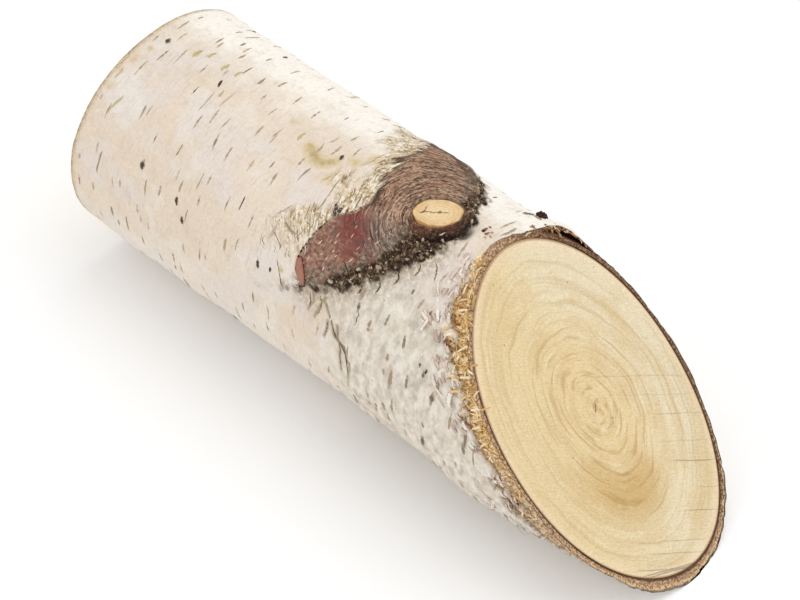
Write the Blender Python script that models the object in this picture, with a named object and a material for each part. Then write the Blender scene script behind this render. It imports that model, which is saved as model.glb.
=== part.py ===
"""A birch log lying on its side, sawn square at one end and on a slant at the other. Metres, +Z up.

The log's axis runs along X, and the slanting cut is at +X. An angle round the log is measured in
degrees from straight up, towards -Y. The origin is on the ground, under the middle of the log.
"""

import math

import bmesh
import bpy
import numpy as np
from mathutils import Matrix, Vector

MM = 0.001

# The trunk: its radius over the bark, and where its axis meets the two saw cuts
RADIUS_AT_SQUARE_END = 46.7 * MM
RADIUS_AT_SLANT = 45.0 * MM
SQUARE_END_X = -132.2 * MM
SLANT_X = 85.1 * MM
AXIS_Y = 0.3 * MM
WORN_FLAT = 0.8 * MM

# Each cut is a plane: x grows by these shares of the distance along Y and above the axis
SLANT_PER_Y = -0.0945
SLANT_PER_Z = -math.tan(math.radians(47.5))
SQUARE_PER_Y = 0.0255
SQUARE_PER_Z = 0.0196

# The section is not quite round: lobes, share of the radius and direction of the first lobe
LOBES_AT_SLANT = {1: (0.0217, 118), 2: (0.0118, 70), 3: (0.0124, -38), 4: (0.0055, 42)}
LOBES_AT_SQUARE_END = {1: (0.0098, -130), 2: (0.0054, 48), 3: (0.0065, -28), 4: (0.0091, -35)}

# A swelling low on the near side, beside the slanting cut: x, angle, height, reach along and round
HIP_X = 68 * MM
HIP_ANGLE = 128
HIP_HEIGHT = 2.9 * MM
HIP_LENGTH = 22 * MM
HIP_SPREAD = 26

# A fuller band on top and on the near side, beside the slanting cut: angle, spread, height and reach
CROWN_ANGLE = 20
CROWN_SPREAD = 62
CROWN_HEIGHT = 1.45 * MM
CROWN_REACH = 20 * MM

# The bark is thickest on the near side, and thinnest on top
BARK_THICKNESS = 2.9 * MM
BARK_THICKER = 0.7 * MM
BARK_THICKEST_ANGLE = 120
SEAT_GAP = 0.3 * MM

# The branch: its cut face is a level oval, and its long side lies across the log
STUB_CENTRE = Vector((13.3 * MM, -4.8 * MM, 95.6 * MM))
STUB_LONG = 17.4 * MM
STUB_SHORT = 13.4 * MM
STUB_TURN = 44
STUB_FLARE = 1.12
STUB_DEPTH = 24 * MM
STUB_SIDES = 28
SLEEVE_THICKNESS = 1.5 * MM
SLEEVE_STEP = 1.1 * MM
SLEEVE_DEPTH = 6.0 * MM

# The dark patch of bark that the branch left: a crescent, bent back on both sides of the branch
PATCH_X = 4.5 * MM
PATCH_ANGLE = 6
PATCH_HALF_WIDTH = 17.6 * MM
PATCH_HALF_SPREAD = 57
PATCH_BEND = 27 * MM
PATCH_RAISED = 1.3 * MM
PATCH_EDGE = 0.28
KNOT_HEIGHT = 2.9 * MM
KNOT_REACH = 23 * MM

# White bark stands in a lip outside the patch's edge: height, place and width as shares, and fade
LIP_HEIGHT = 0.8 * MM
LIP_OUTSIDE = 0.05
LIP_WIDTH = 0.09
LIP_FADE = 12 * MM

# Beside the slanting cut the saw tore the bark's skin off on the near side
TORN_FROM_ANGLE = -2
TORN_TO_ANGLE = 140
TORN_FADE_ANGLE = 14
TORN_DEPTH = 1.1 * MM
TORN_LENGTH = 12.8 * MM
TORN_SLOPE = 0.6
TORN_RAGGED = 0.25
TORN_TEETH = (31, 13)

# On top, at the slanting cut, the bark has lifted and a dark gap shows under it
FLAP_X = 38 * MM
FLAP_ANGLE = -40
FLAP_SPREAD = 13
FLAP_LIFT = 3.1 * MM
FLAP_LENGTH = 8 * MM
FLAP_GAP = 1.5 * MM
FLAP_GAP_THINNEST = 0.25
FLAP_GAP_DEPTH = 4.0 * MM
FLAP_GAP_ABOVE_WOOD = 1.5 * MM
FLAP_GAP_SECTIONS = 9

# A dead bud stands on the lifted bark: its middle is this high over the trunk
BUD_X = 30.5 * MM
BUD_ANGLE = -36
BUD_SIZE = 3.8 * MM
BUD_SHAPE = (1.15, 0.8, 1.0)
BUD_HEIGHT = 1.6 * MM

# The bark's slow unevenness: waves round the log, their length along it and their height
WAVES = (
    (2, 90 * MM, 0.22 * MM),
    (3, 61 * MM, 0.22 * MM),
    (5, 43 * MM, 0.18 * MM),
    (7, 33 * MM, 0.15 * MM),
    (9, 26 * MM, 0.12 * MM),
)
WAVE_SEED = 5

# How finely the faces follow the shape: degrees round the log, and rings from cut to cut
FINE_STEP = 3.6
COARSE_STEP = 6.5
FINE_FROM_ANGLE = -52
FINE_TO_ANGLE = 80
RINGS_TO_KNOT = 13
RINGS_PAST_KNOT = 29
KNOT_STARTS = 0.52
WOOD_RINGS = 8
RIM_PASSES = 6
SHARP_ANGLE = 35

# How far a cutter runs on past the faces that it cuts through
OVERRUN = 6 * MM
FLAP_GAP_OVERRUN = 2 * MM

MATERIALS = {
    "bark": ((0.78, 0.72, 0.64), 0.85),
    "wood": ((0.80, 0.66, 0.42), 0.75),
}


def clear_scene():
    for obj in list(bpy.data.objects):
        bpy.data.objects.remove(obj)


def finish(name):
    """The material of that name: its colour and roughness, and no metal."""
    colour, roughness = MATERIALS[name]
    material = bpy.data.materials.new(name)
    material.use_nodes = True
    shader = material.node_tree.nodes["Principled BSDF"]
    shader.inputs["Base Color"].default_value = (*colour, 1.0)
    shader.inputs["Roughness"].default_value = roughness
    shader.inputs["Metallic"].default_value = 0.0
    material.diffuse_color = (*colour, 1.0)
    return material


def smooth_step(value):
    """0 below 0, 1 above 1, and a smooth S between."""
    t = np.clip(value, 0.0, 1.0)
    return t * t * (3 - 2 * t)


def bell(value):
    """A bell curve: 1 at 0, and nearly nothing past 2."""
    return np.exp(-np.square(value))


def turned(angle, centre):
    """angle less centre, brought between -180 and 180 degrees."""
    return (np.asarray(angle) - centre + 180) % 360 - 180


def lobed(angle, lobes):
    """The section's share out of round: one cosine for each number of lobes."""
    total = 0.0
    for count, (share, direction) in lobes.items():
        total = total + share * np.cos(np.radians(count * turned(angle, direction)))
    return total


def round_radius(x):
    """The radius of a plain cone through the two ends."""
    along = (x - SQUARE_END_X) / (SLANT_X - SQUARE_END_X)
    return RADIUS_AT_SQUARE_END + (RADIUS_AT_SLANT - RADIUS_AT_SQUARE_END) * along


def axis_height(x):
    """The axis lies so that the cone's lowest line is just below the ground."""
    return round_radius(x) - WORN_FLAT


def crown(x, angle):
    """How much fuller the trunk is beside the slanting cut: a band that fades away from the cut."""
    inward = (slant_rim_x(RADIUS_AT_SLANT, angle) - x) / CROWN_REACH
    across = np.square(turned(angle, CROWN_ANGLE) / CROWN_SPREAD)
    return CROWN_HEIGHT * bell(inward) * bell(across)


def trunk_radius(x, angle):
    """The trunk's radius over the bark: the cone, its lobes, the hip and the crown."""
    along = (x - SQUARE_END_X) / (SLANT_X - SQUARE_END_X)
    lobes = along * lobed(angle, LOBES_AT_SLANT) + (1 - along) * lobed(angle, LOBES_AT_SQUARE_END)
    hip = HIP_HEIGHT * bell((x - HIP_X) / HIP_LENGTH) * bell(turned(angle, HIP_ANGLE) / HIP_SPREAD)
    return round_radius(x) * (1 + lobes) + hip + crown(x, angle)


def patch_depth(x, angle):
    """How far inside the dark patch a point is: 0 on its outline, 1 at its middle, less outside.

    The patch is an ellipse of length and angle, bent back along the log by the square of the angle.
    """
    aside = turned(angle, PATCH_ANGLE) / PATCH_HALF_SPREAD
    middle = PATCH_X - PATCH_BEND * np.square(aside)
    return 1 - np.hypot((x - middle) / PATCH_HALF_WIDTH, aside)


def stub_distance(x, angle):
    """The distance over the bark from the middle of the branch."""
    stub_angle = math.degrees(math.atan2(AXIS_Y - STUB_CENTRE.y, RADIUS_AT_SLANT))
    round_log = np.radians(turned(angle, stub_angle)) * RADIUS_AT_SLANT
    return np.hypot(x - STUB_CENTRE.x, round_log)


def knot_swelling(x, angle):
    """The rise round the branch: a mound at the stub, and the patch a little proud of the bark."""
    mound = KNOT_HEIGHT * bell(stub_distance(x, angle) / KNOT_REACH)
    return mound + PATCH_RAISED * smooth_step(patch_depth(x, angle) / PATCH_EDGE + 0.5)


def patch_lip(x, angle):
    """White bark stands up in a lip along the patch's edge, away from the slanting cut."""
    edge = bell((patch_depth(x, angle) + LIP_OUTSIDE) / LIP_WIDTH)
    behind = smooth_step((PATCH_X - x) / LIP_FADE)
    return LIP_HEIGHT * edge * behind


def undulation(x, angle):
    """The bark's slow unevenness: a few waves round and along, with seeded phases."""
    phases = np.random.default_rng(WAVE_SEED)
    total = 0.0
    for around, wavelength, height in WAVES:
        phase_round, phase_along = phases.uniform(0, 2 * math.pi, 2)
        wave_round = np.sin(np.radians(around * angle) + phase_round)
        wave_along = np.sin(x / wavelength * 2 * math.pi + phase_along)
        total = total + height * wave_round * wave_along
    return total


def slant_rim_x(radius, angle):
    """x where a point at this radius and angle meets the slanting cut."""
    y = -radius * np.sin(np.radians(angle))
    z = radius * np.cos(np.radians(angle))
    return SLANT_X + SLANT_PER_Y * y + SLANT_PER_Z * z


def square_rim_x(radius, angle):
    """x where a point at this radius and angle meets the square cut."""
    y = -radius * np.sin(np.radians(angle))
    z = radius * np.cos(np.radians(angle))
    return SQUARE_END_X + SQUARE_PER_Y * y + SQUARE_PER_Z * z


def torn_away(x, angle):
    """What the saw took off the skin beside the slanting cut, in ragged teeth round the rim."""
    middle = (TORN_FROM_ANGLE + TORN_TO_ANGLE) / 2
    half = (TORN_TO_ANGLE - TORN_FROM_ANGLE) / 2
    side = smooth_step((half - np.abs(turned(angle, middle))) / TORN_FADE_ANGLE)
    many, few = (np.sin(np.radians(angle * count)) for count in TORN_TEETH)
    length = TORN_LENGTH * (1 - TORN_RAGGED + TORN_RAGGED * many * few)
    inward = (slant_rim_x(RADIUS_AT_SLANT, angle) - x) / length
    return TORN_DEPTH * side * smooth_step((1 - inward) / TORN_SLOPE)


def flap_lift(x, angle):
    """How far the loose bark on top has lifted beside the slanting cut."""
    return FLAP_LIFT * bell((x - FLAP_X) / FLAP_LENGTH) * bell(turned(angle, FLAP_ANGLE) / FLAP_SPREAD)


def bark_radius(x, angle):
    """The outside of the bark."""
    raised = knot_swelling(x, angle) + patch_lip(x, angle) + flap_lift(x, angle)
    return trunk_radius(x, angle) + raised + undulation(x, angle) - torn_away(x, angle)


def wood_radius(x, angle):
    """The outside of the wood: the trunk less its bark, with the swelling that the branch made."""
    thicker = BARK_THICKER * np.cos(np.radians(turned(angle, BARK_THICKEST_ANGLE)))
    return trunk_radius(x, angle) + knot_swelling(x, angle) - BARK_THICKNESS - thicker


def columns():
    """The angles of the faces' edges round the log: fine on the side of the branch."""
    fine = np.arange(FINE_FROM_ANGLE, FINE_TO_ANGLE, FINE_STEP)
    rest = 360 - (FINE_TO_ANGLE - FINE_FROM_ANGLE)
    coarse = np.linspace(0, rest, round(rest / COARSE_STEP), endpoint=False)
    return np.concatenate([fine, FINE_TO_ANGLE + coarse])


def bark_shares():
    """The rings' places from the square cut, 0, to the slanting one, 1: closer past the knot's start."""
    before = np.linspace(0, KNOT_STARTS, RINGS_TO_KNOT, endpoint=False)
    past = np.linspace(KNOT_STARTS, 1, RINGS_PAST_KNOT)
    return np.concatenate([before, past])


def ring(radius_of, share, angles, growth=0.0, overrun=0.0):
    """One ring of points, at this share of the way between the two cuts, plus overrun along X.

    Where a point lies along X and how far out it is depend on each other, so a few passes settle them.
    """
    x = np.full(len(angles), SQUARE_END_X + (SLANT_X - SQUARE_END_X) * share)
    for _ in range(RIM_PASSES):
        radius = radius_of(x, angles) + growth
        start = square_rim_x(radius, angles)
        x = start + (slant_rim_x(radius, angles) - start) * share
    y = AXIS_Y - radius * np.sin(np.radians(angles))
    z = axis_height(x) + radius * np.cos(np.radians(angles))
    return [Vector((float(a) + overrun, float(b), float(c))) for a, b, c in zip(x, y, z, strict=True)]


def loft(name, rings):
    """A closed solid: the rings joined by bands of triangles, with a flat face at each end."""
    shape = bmesh.new()
    loops = [[shape.verts.new(point) for point in points] for points in rings]
    count = len(loops[0])
    for low, high in zip(loops, loops[1:], strict=False):
        for i in range(count):
            j = (i + 1) % count
            shape.faces.new((low[i], high[i], high[j]))
            shape.faces.new((low[i], high[j], low[j]))
    shape.faces.new(loops[0])
    shape.faces.new(loops[-1][::-1])
    bmesh.ops.recalc_face_normals(shape, faces=shape.faces)
    mesh = bpy.data.meshes.new(name)
    shape.to_mesh(mesh)
    shape.free()
    obj = bpy.data.objects.new(name, mesh)
    bpy.context.scene.collection.objects.link(obj)
    return obj


def oval(long, short, height):
    """A level oval ring about the stub's axis, turned as its cut face is."""
    turn = Matrix.Rotation(math.radians(STUB_TURN), 3, "Z")
    points = []
    for i in range(STUB_SIDES):
        t = 2 * math.pi * i / STUB_SIDES
        flat = turn @ Vector((long / 2 * math.cos(t), short / 2 * math.sin(t), 0))
        points.append(Vector((STUB_CENTRE.x, STUB_CENTRE.y, height)) + flat)
    return points


def stub(name, growth=0.0, top=0.0, depth=STUB_DEPTH):
    """The branch's stub, wider by growth all round, from depth below its cut face to top above it."""
    face = STUB_CENTRE.z
    flare = 1 + (STUB_FLARE - 1) * depth / STUB_DEPTH
    low = oval(STUB_LONG * flare + 2 * growth, STUB_SHORT * flare + 2 * growth, face - depth)
    high = oval(STUB_LONG + 2 * growth, STUB_SHORT + 2 * growth, face + top)
    return loft(name, [low, high])


def flap_gap_cutter():
    """A thin curved wedge that opens the gap under the lifted bark, at the slanting cut."""
    angles = np.linspace(FLAP_ANGLE - FLAP_SPREAD, FLAP_ANGLE + FLAP_SPREAD, FLAP_GAP_SECTIONS)
    sections = []
    for angle in angles:
        taper = math.cos(math.radians((angle - FLAP_ANGLE) / FLAP_SPREAD * 90))
        thickness = FLAP_GAP * max(taper, FLAP_GAP_THINNEST)
        rim = slant_rim_x(RADIUS_AT_SLANT, angle)
        inside = float(wood_radius(rim, angle)) + FLAP_GAP_ABOVE_WOOD
        outside = inside + thickness
        points = []
        for past_rim, radius in (
            (FLAP_GAP_OVERRUN, inside),
            (-FLAP_GAP_DEPTH, inside),
            (-FLAP_GAP_DEPTH, outside),
            (FLAP_GAP_OVERRUN, outside),
        ):
            x = float(slant_rim_x(radius, angle)) + past_rim
            y = AXIS_Y - radius * math.sin(math.radians(angle))
            z = axis_height(x) + radius * math.cos(math.radians(angle))
            points.append(Vector((x, y, z)))
        sections.append(points)
    return loft("flap_gap_cutter", sections)


def bud():
    """A dead bud on the lifted bark, as a rounded lump sunk into it."""
    radius = float(trunk_radius(BUD_X, BUD_ANGLE)) + BUD_HEIGHT
    shape = bmesh.new()
    bmesh.ops.create_icosphere(shape, subdivisions=2, radius=BUD_SIZE / 2)
    bmesh.ops.scale(shape, vec=BUD_SHAPE, verts=shape.verts)
    mesh = bpy.data.meshes.new("bud")
    shape.to_mesh(mesh)
    shape.free()
    obj = bpy.data.objects.new("bud", mesh)
    place = Vector((BUD_X, AXIS_Y - radius * math.sin(math.radians(BUD_ANGLE)), 0))
    place.z = float(axis_height(BUD_X)) + radius * math.cos(math.radians(BUD_ANGLE))
    mesh.transform(Matrix.Translation(place))
    bpy.context.scene.collection.objects.link(obj)
    return obj


def combine(obj, other, operation):
    """Joins other to obj, or cuts it from obj, and removes it."""
    modifier = obj.modifiers.new(operation.lower(), "BOOLEAN")
    modifier.operation = operation
    modifier.solver = "EXACT"
    modifier.object = other
    bpy.context.view_layer.objects.active = obj
    bpy.ops.object.modifier_apply(modifier=modifier.name)
    bpy.data.objects.remove(other)


def rest_on_ground(obj):
    """Wears the underside flat: nothing reaches below the ground."""
    for vertex in obj.data.vertices:
        vertex.co.z = max(vertex.co.z, 0.0)


def dress(obj, name):
    obj.data.materials.append(finish(name))
    obj.data.shade_smooth()
    obj.data.set_sharp_from_angle(angle=math.radians(SHARP_ANGLE))


def build_wood(angles):
    shares = np.linspace(0, 1, WOOD_RINGS)
    wood = loft("wood", [ring(wood_radius, share, angles) for share in shares])
    combine(wood, stub("stub"), "UNION")
    dress(wood, "wood")
    return wood


def build_core(angles):
    """What the bark leaves free: the wood, grown by the gap, and run on past both cuts."""
    shares = np.linspace(0, 1, WOOD_RINGS)
    rings = [ring(wood_radius, share, angles, SEAT_GAP) for share in shares]
    first = ring(wood_radius, shares[0], angles, SEAT_GAP, -OVERRUN)
    last = ring(wood_radius, shares[-1], angles, SEAT_GAP, OVERRUN)
    core = loft("core", [first, *rings, last])
    combine(core, stub("stub_hole", growth=SEAT_GAP, top=OVERRUN), "UNION")
    return core


def build_bark(angles):
    bark = loft("bark", [ring(bark_radius, share, angles) for share in bark_shares()])
    rest_on_ground(bark)
    sleeve = stub("sleeve", growth=SLEEVE_THICKNESS, top=-SLEEVE_STEP, depth=SLEEVE_DEPTH)
    combine(bark, sleeve, "UNION")
    combine(bark, bud(), "UNION")
    combine(bark, build_core(angles), "DIFFERENCE")
    combine(bark, flap_gap_cutter(), "DIFFERENCE")
    dress(bark, "bark")
    return bark


def report(objects):
    corners = np.array([vertex.co for obj in objects for vertex in obj.data.vertices])
    low, high = corners.min(0) / MM, corners.max(0) / MM
    print("box in mm:", np.round(low, 2), np.round(high, 2), "middle", np.round((low + high) / 2, 2))
    for obj in objects:
        obj.data.calc_loop_triangles()
        print(obj.name, len(obj.data.loop_triangles), "triangles")


def main():
    clear_scene()
    angles = columns()
    report([build_wood(angles), build_bark(angles)])


main()
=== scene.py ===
# %% [markdown]
# # A birch log
#
# A short log of silver birch lies on its side. It is sawn square at the far end and on a long slant at
# the near end. One branch was cut off, and its dark scar runs over the top of the log. Everything here
# is worked out from a few sizes: no picture is read, and every random draw has a seed.

# %% Load the frame and keep its box
import math

import bpy
import numpy as np
from mathutils import Matrix, Vector


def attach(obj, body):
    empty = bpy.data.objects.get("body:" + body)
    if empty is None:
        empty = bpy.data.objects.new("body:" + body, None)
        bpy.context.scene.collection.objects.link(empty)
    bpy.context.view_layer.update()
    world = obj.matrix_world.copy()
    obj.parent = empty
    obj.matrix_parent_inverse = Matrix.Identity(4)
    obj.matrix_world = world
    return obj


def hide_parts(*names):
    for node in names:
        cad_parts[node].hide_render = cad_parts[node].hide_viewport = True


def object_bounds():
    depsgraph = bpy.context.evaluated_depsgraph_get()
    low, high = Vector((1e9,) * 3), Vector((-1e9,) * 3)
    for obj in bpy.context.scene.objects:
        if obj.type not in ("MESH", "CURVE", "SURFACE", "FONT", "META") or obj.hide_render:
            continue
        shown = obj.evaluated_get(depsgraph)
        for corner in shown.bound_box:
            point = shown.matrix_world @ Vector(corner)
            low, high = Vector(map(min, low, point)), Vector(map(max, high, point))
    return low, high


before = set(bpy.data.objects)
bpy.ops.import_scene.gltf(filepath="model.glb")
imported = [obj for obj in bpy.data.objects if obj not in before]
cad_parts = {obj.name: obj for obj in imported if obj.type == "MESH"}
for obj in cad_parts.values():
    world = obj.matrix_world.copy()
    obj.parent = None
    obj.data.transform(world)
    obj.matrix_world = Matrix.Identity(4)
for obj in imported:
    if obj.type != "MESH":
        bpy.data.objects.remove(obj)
cad_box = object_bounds()
LOW, HIGH = (np.array(corner) for corner in cad_box)
print("nodes:", sorted(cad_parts), "box:", [tuple(round(v, 4) for v in corner) for corner in cad_box])

# %% [markdown]
# ## The log's own measures
#
# A log is a cone that is hardly a cone: it narrows by 2 mm over its length. Each saw cut is a plane, and
# the trunk's section has a few low lobes. These are the sizes that the solid model has too, so that the
# fine surfaces made here lie exactly where the solids are.

# %% Sizes of the trunk, in metres
MM = 0.001
RADIUS_AT_SQUARE_END = 46.7 * MM
RADIUS_AT_SLANT = 45.0 * MM
SQUARE_END_X = -132.2 * MM
SLANT_X = 85.1 * MM
AXIS_Y = 0.3 * MM
WORN_FLAT = 0.8 * MM
SLANT_PER_Y = -0.0945
SLANT_PER_Z = -math.tan(math.radians(47.5))
SQUARE_PER_Y = 0.0255
SQUARE_PER_Z = 0.0196
LOBES_AT_SLANT = {1: (0.0217, 118), 2: (0.0118, 70), 3: (0.0124, -38), 4: (0.0055, 42)}
LOBES_AT_SQUARE_END = {1: (0.0098, -130), 2: (0.0054, 48), 3: (0.0065, -28), 4: (0.0091, -35)}
HIP_X, HIP_ANGLE, HIP_HEIGHT, HIP_LENGTH, HIP_SPREAD = 68 * MM, 128, 2.9 * MM, 22 * MM, 26
CROWN_ANGLE, CROWN_SPREAD, CROWN_HEIGHT, CROWN_REACH = 20, 62, 1.45 * MM, 20 * MM
BARK_THICKNESS, BARK_THICKER, BARK_THICKEST_ANGLE = 2.9 * MM, 0.7 * MM, 120
SEAT_GAP, THINNEST_BARK, SOFT_LIMIT = 0.3 * MM, 0.3 * MM, 0.3 * MM

# %% Sizes of the branch, its scar, the loose bark and the bud. SCAR_BACK is an angle and an x at each bend
STUB_X, STUB_Y, STUB_Z = 13.3 * MM, -4.8 * MM, 95.6 * MM
STUB_LONG, STUB_SHORT, STUB_TURN = 17.4 * MM, 13.4 * MM, math.radians(44)
PIT_X, PIT_Y, PIT_SIZE, PIT_DEPTH = 23.4 * MM, -2.6 * MM, 2.6 * MM, 3.0 * MM
PATCH_X, PATCH_ANGLE = 4.5 * MM, 6
PATCH_HALF_WIDTH, PATCH_HALF_SPREAD, PATCH_BEND = 17.6 * MM, 57, 27 * MM
PATCH_RAISED, PATCH_EDGE = 1.3 * MM, 0.28
SCAR_BACK = (
    (-60, -26.0), (-36, -22.8), (-20, -18.6), (-12, -19.2), (-1, -17.6), (7, -13.8), (16, -10.4), (23, -12.6),
    (29, -18.6), (36, -20.2), (48, -21.6), (55, -21.8), (59, -20.4), (62, -16.4), (64, -8.0),
)
KNOT_HEIGHT, KNOT_REACH = 2.9 * MM, 23 * MM
LIP_HEIGHT, LIP_OUTSIDE, LIP_WIDTH, LIP_FADE = 0.8 * MM, 0.05, 0.09, 12 * MM
TORN_FROM_ANGLE, TORN_TO_ANGLE, TORN_DEPTH = 6, 142, 1.1 * MM
FLAP_X, FLAP_ANGLE, FLAP_SPREAD, FLAP_LIFT, FLAP_LENGTH = 38 * MM, -40, 13, 3.1 * MM, 8 * MM
FLAP_GAP, FLAP_GAP_DEPTH, FLAP_GAP_ABOVE_WOOD = 1.5 * MM, 4.0 * MM, 1.5 * MM
BUD_X, BUD_ANGLE, BUD_SIZE, BUD_HEIGHT = 31.8 * MM, -36, 3.8 * MM, 1.6 * MM
WAVES = (
    (2, 90 * MM, 0.22 * MM),
    (3, 61 * MM, 0.22 * MM),
    (5, 43 * MM, 0.18 * MM),
    (7, 33 * MM, 0.15 * MM),
    (9, 26 * MM, 0.12 * MM),
)
WAVE_SEED = 5

# %% [markdown]
# ## The trunk as a formula
#
# A point on the trunk has a place along X and an angle round the axis, in degrees from straight up
# towards the camera's side. The functions below give the distance from the axis there, and work on
# whole arrays at once. This is quicker than moving points one by one, and each rule stays readable.

# %% Curves that the rules are made of
def smooth_step(value):
    """0 below 0, 1 above 1, and a smooth S between."""
    t = np.clip(value, 0.0, 1.0)
    return t * t * (3 - 2 * t)


def bell(value):
    """A bell curve: 1 at 0, and nearly nothing past 2."""
    return np.exp(-np.square(value))


def turned(angle, centre):
    """angle less centre, brought between -180 and 180 degrees."""
    return (np.asarray(angle) - centre + 180) % 360 - 180


# %% The two planes that cut the trunk
def cut_x(middle, per_y, per_z, radius, angle):
    """x on a sawn plane: its x at the axis, plus the radius times how much it leans that way."""
    turn = np.radians(angle)
    return middle + radius * (per_z * np.cos(turn) - per_y * np.sin(turn))


def slant_rim_x(radius, angle):
    """x where a point at this radius and angle meets the slanting cut."""
    return cut_x(SLANT_X, SLANT_PER_Y, SLANT_PER_Z, radius, angle)


def square_rim_x(radius, angle):
    """x where a point at this radius and angle meets the square cut."""
    return cut_x(SQUARE_END_X, SQUARE_PER_Y, SQUARE_PER_Z, radius, angle)


def from_slant(x, angle):
    """How far a point on the bark lies from the slanting cut: the cut's x there, less its own."""
    return slant_rim_x(RADIUS_AT_SLANT, angle) - x


# %% The trunk's radius, and places in space
def share_along(x):
    """0 where the axis meets the square cut, and 1 where it meets the slanting one."""
    return (x - SQUARE_END_X) / (SLANT_X - SQUARE_END_X)


def lobed(angle, lobes):
    """The section's share out of round: one cosine for each number of lobes."""
    return sum(share * np.cos(np.radians(n * turned(angle, turn))) for n, (share, turn) in lobes.items())


def round_radius(x):
    """The radius of a plain cone through the two ends."""
    return RADIUS_AT_SQUARE_END + (RADIUS_AT_SLANT - RADIUS_AT_SQUARE_END) * share_along(x)


def axis_height(x):
    """The axis lies so that the cone's lowest line is just below the ground."""
    return round_radius(x) - WORN_FLAT


def crown(x, angle):
    """How much fuller the trunk is beside the slanting cut: a bell inwards from it, times one round it."""
    across = np.square(turned(angle, CROWN_ANGLE) / CROWN_SPREAD)
    return CROWN_HEIGHT * bell(from_slant(x, angle) / CROWN_REACH) * bell(across)


def trunk_radius(x, angle):
    """The trunk's radius over the bark: the cone times its lobes, plus the hip and the crown."""
    along = share_along(x)
    lobes = along * lobed(angle, LOBES_AT_SLANT) + (1 - along) * lobed(angle, LOBES_AT_SQUARE_END)
    hip = HIP_HEIGHT * bell((x - HIP_X) / HIP_LENGTH) * bell(turned(angle, HIP_ANGLE) / HIP_SPREAD)
    return round_radius(x) * (1 + lobes) + hip + crown(x, angle)


def place(x, angle, radius):
    """The point in space: from the axis, the radius's sine to the side and its cosine up."""
    x, angle, radius = np.broadcast_arrays(x, angle, radius)
    y = AXIS_Y - radius * np.sin(np.radians(angle))
    z = axis_height(x) + radius * np.cos(np.radians(angle))
    return np.stack([x, y, z], -1)


def outward(angle):
    """The direction away from the axis."""
    turn = np.radians(angle)
    return np.stack([0 * turn, -np.sin(turn), np.cos(turn)], -1)


def onward(angle):
    """The direction round the log in which the angle grows."""
    turn = np.radians(angle)
    return np.stack([0 * turn, -np.cos(turn), -np.sin(turn)], -1)


ALONG_X = np.array([1.0, 0.0, 0.0])

# %% The knot: its swelling, and the outline of its scar
def patch_across(x, angle):
    """Where a point lies across the scar: -1 and 1 on the sides of its outline, 0 on its middle line.

    The middle line bends back along the log by the square of the angle from the scar's middle.
    """
    aside = turned(angle, PATCH_ANGLE) / PATCH_HALF_SPREAD
    return (x - PATCH_X + PATCH_BEND * aside**2) / PATCH_HALF_WIDTH


def patch_depth(x, angle):
    """How far inside the scar a point is: 0 on its outline, 1 at its middle, less outside."""
    return 1 - np.hypot(patch_across(x, angle), turned(angle, PATCH_ANGLE) / PATCH_HALF_SPREAD)


def stub_distance(x, angle):
    """The distance over the bark from the middle of the branch, by its parts along and round the log."""
    stub_angle = math.degrees(math.atan2(AXIS_Y - STUB_Y, RADIUS_AT_SLANT))
    return np.hypot(x - STUB_X, np.radians(turned(angle, stub_angle)) * RADIUS_AT_SLANT)


def branch_direction(x, angle):
    """The direction over the bark from the middle of the branch, in degrees from +X."""
    side = np.radians(turned(angle, PATCH_ANGLE)) * RADIUS_AT_SLANT
    return np.degrees(np.arctan2(side, x - STUB_X))


def knot_swelling(x, angle):
    """The rise round the branch: a mound at the stub, and the scar a little proud of the bark."""
    mound = KNOT_HEIGHT * bell(stub_distance(x, angle) / KNOT_REACH)
    return mound + PATCH_RAISED * smooth_step(patch_depth(x, angle) / PATCH_EDGE + 0.5)


def undulation(x, angle):
    """The bark's slow unevenness: a few waves round and along, with seeded phases."""
    phases = np.random.default_rng(WAVE_SEED)
    total = 0.0
    for around, wavelength, height in WAVES:
        phase_round, phase_along = phases.uniform(0, 2 * math.pi, 2)
        wave_round = np.sin(np.radians(around * angle) + phase_round)
        total = total + height * wave_round * np.sin(x / wavelength * 2 * math.pi + phase_along)
    return total


def wood_radius(x, angle):
    """The outside of the wood: the trunk less its bark, with the swelling that the branch made."""
    thicker = BARK_THICKER * np.cos(np.radians(turned(angle, BARK_THICKEST_ANGLE)))
    return trunk_radius(x, angle) + knot_swelling(x, angle) - BARK_THICKNESS - thicker


# %% [markdown]
# ## Noise that closes round the log
#
# Bark is uneven at every scale. Value noise puts a random height at each corner of a grid of cells and
# blends between them. The grid is laid on the skin itself, with a whole number of cells round the log,
# so that there is no seam. Lumps come from the distance to the nearest of scattered points.

# %% Noise on the skin
NOISE_ROWS = 1024


def noise(x, angle, cell, count, seed):
    """Smooth noise from 0 to 1: seeded heights at the corners of cells of this length, count to a turn."""
    heights = np.random.default_rng(seed).random((NOISE_ROWS, count))
    i, s = np.divmod(x / cell, 1)
    j, t = np.divmod(angle / 360 * count, 1)
    i, j = i.astype(int) % NOISE_ROWS, j.astype(int) % count
    i2, j2 = (i + 1) % NOISE_ROWS, (j + 1) % count
    s, t = smooth_step(s), smooth_step(t)
    low = heights[i, j] * (1 - t) + heights[i, j2] * t
    high = heights[i2, j] * (1 - t) + heights[i2, j2] * t
    return low * (1 - s) + high * s


def rough(x, angle, cell, count, seed, layers=4):
    """Layers of noise from -1 to 1, each with cells half as long and half as high as the last."""
    total = sum(
        (2 * noise(x, angle, cell / 2**k, count * 2**k, seed + k) - 1) / 2**k for k in range(layers)
    )
    return total / (2 - 2.0 ** (1 - layers))


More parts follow.
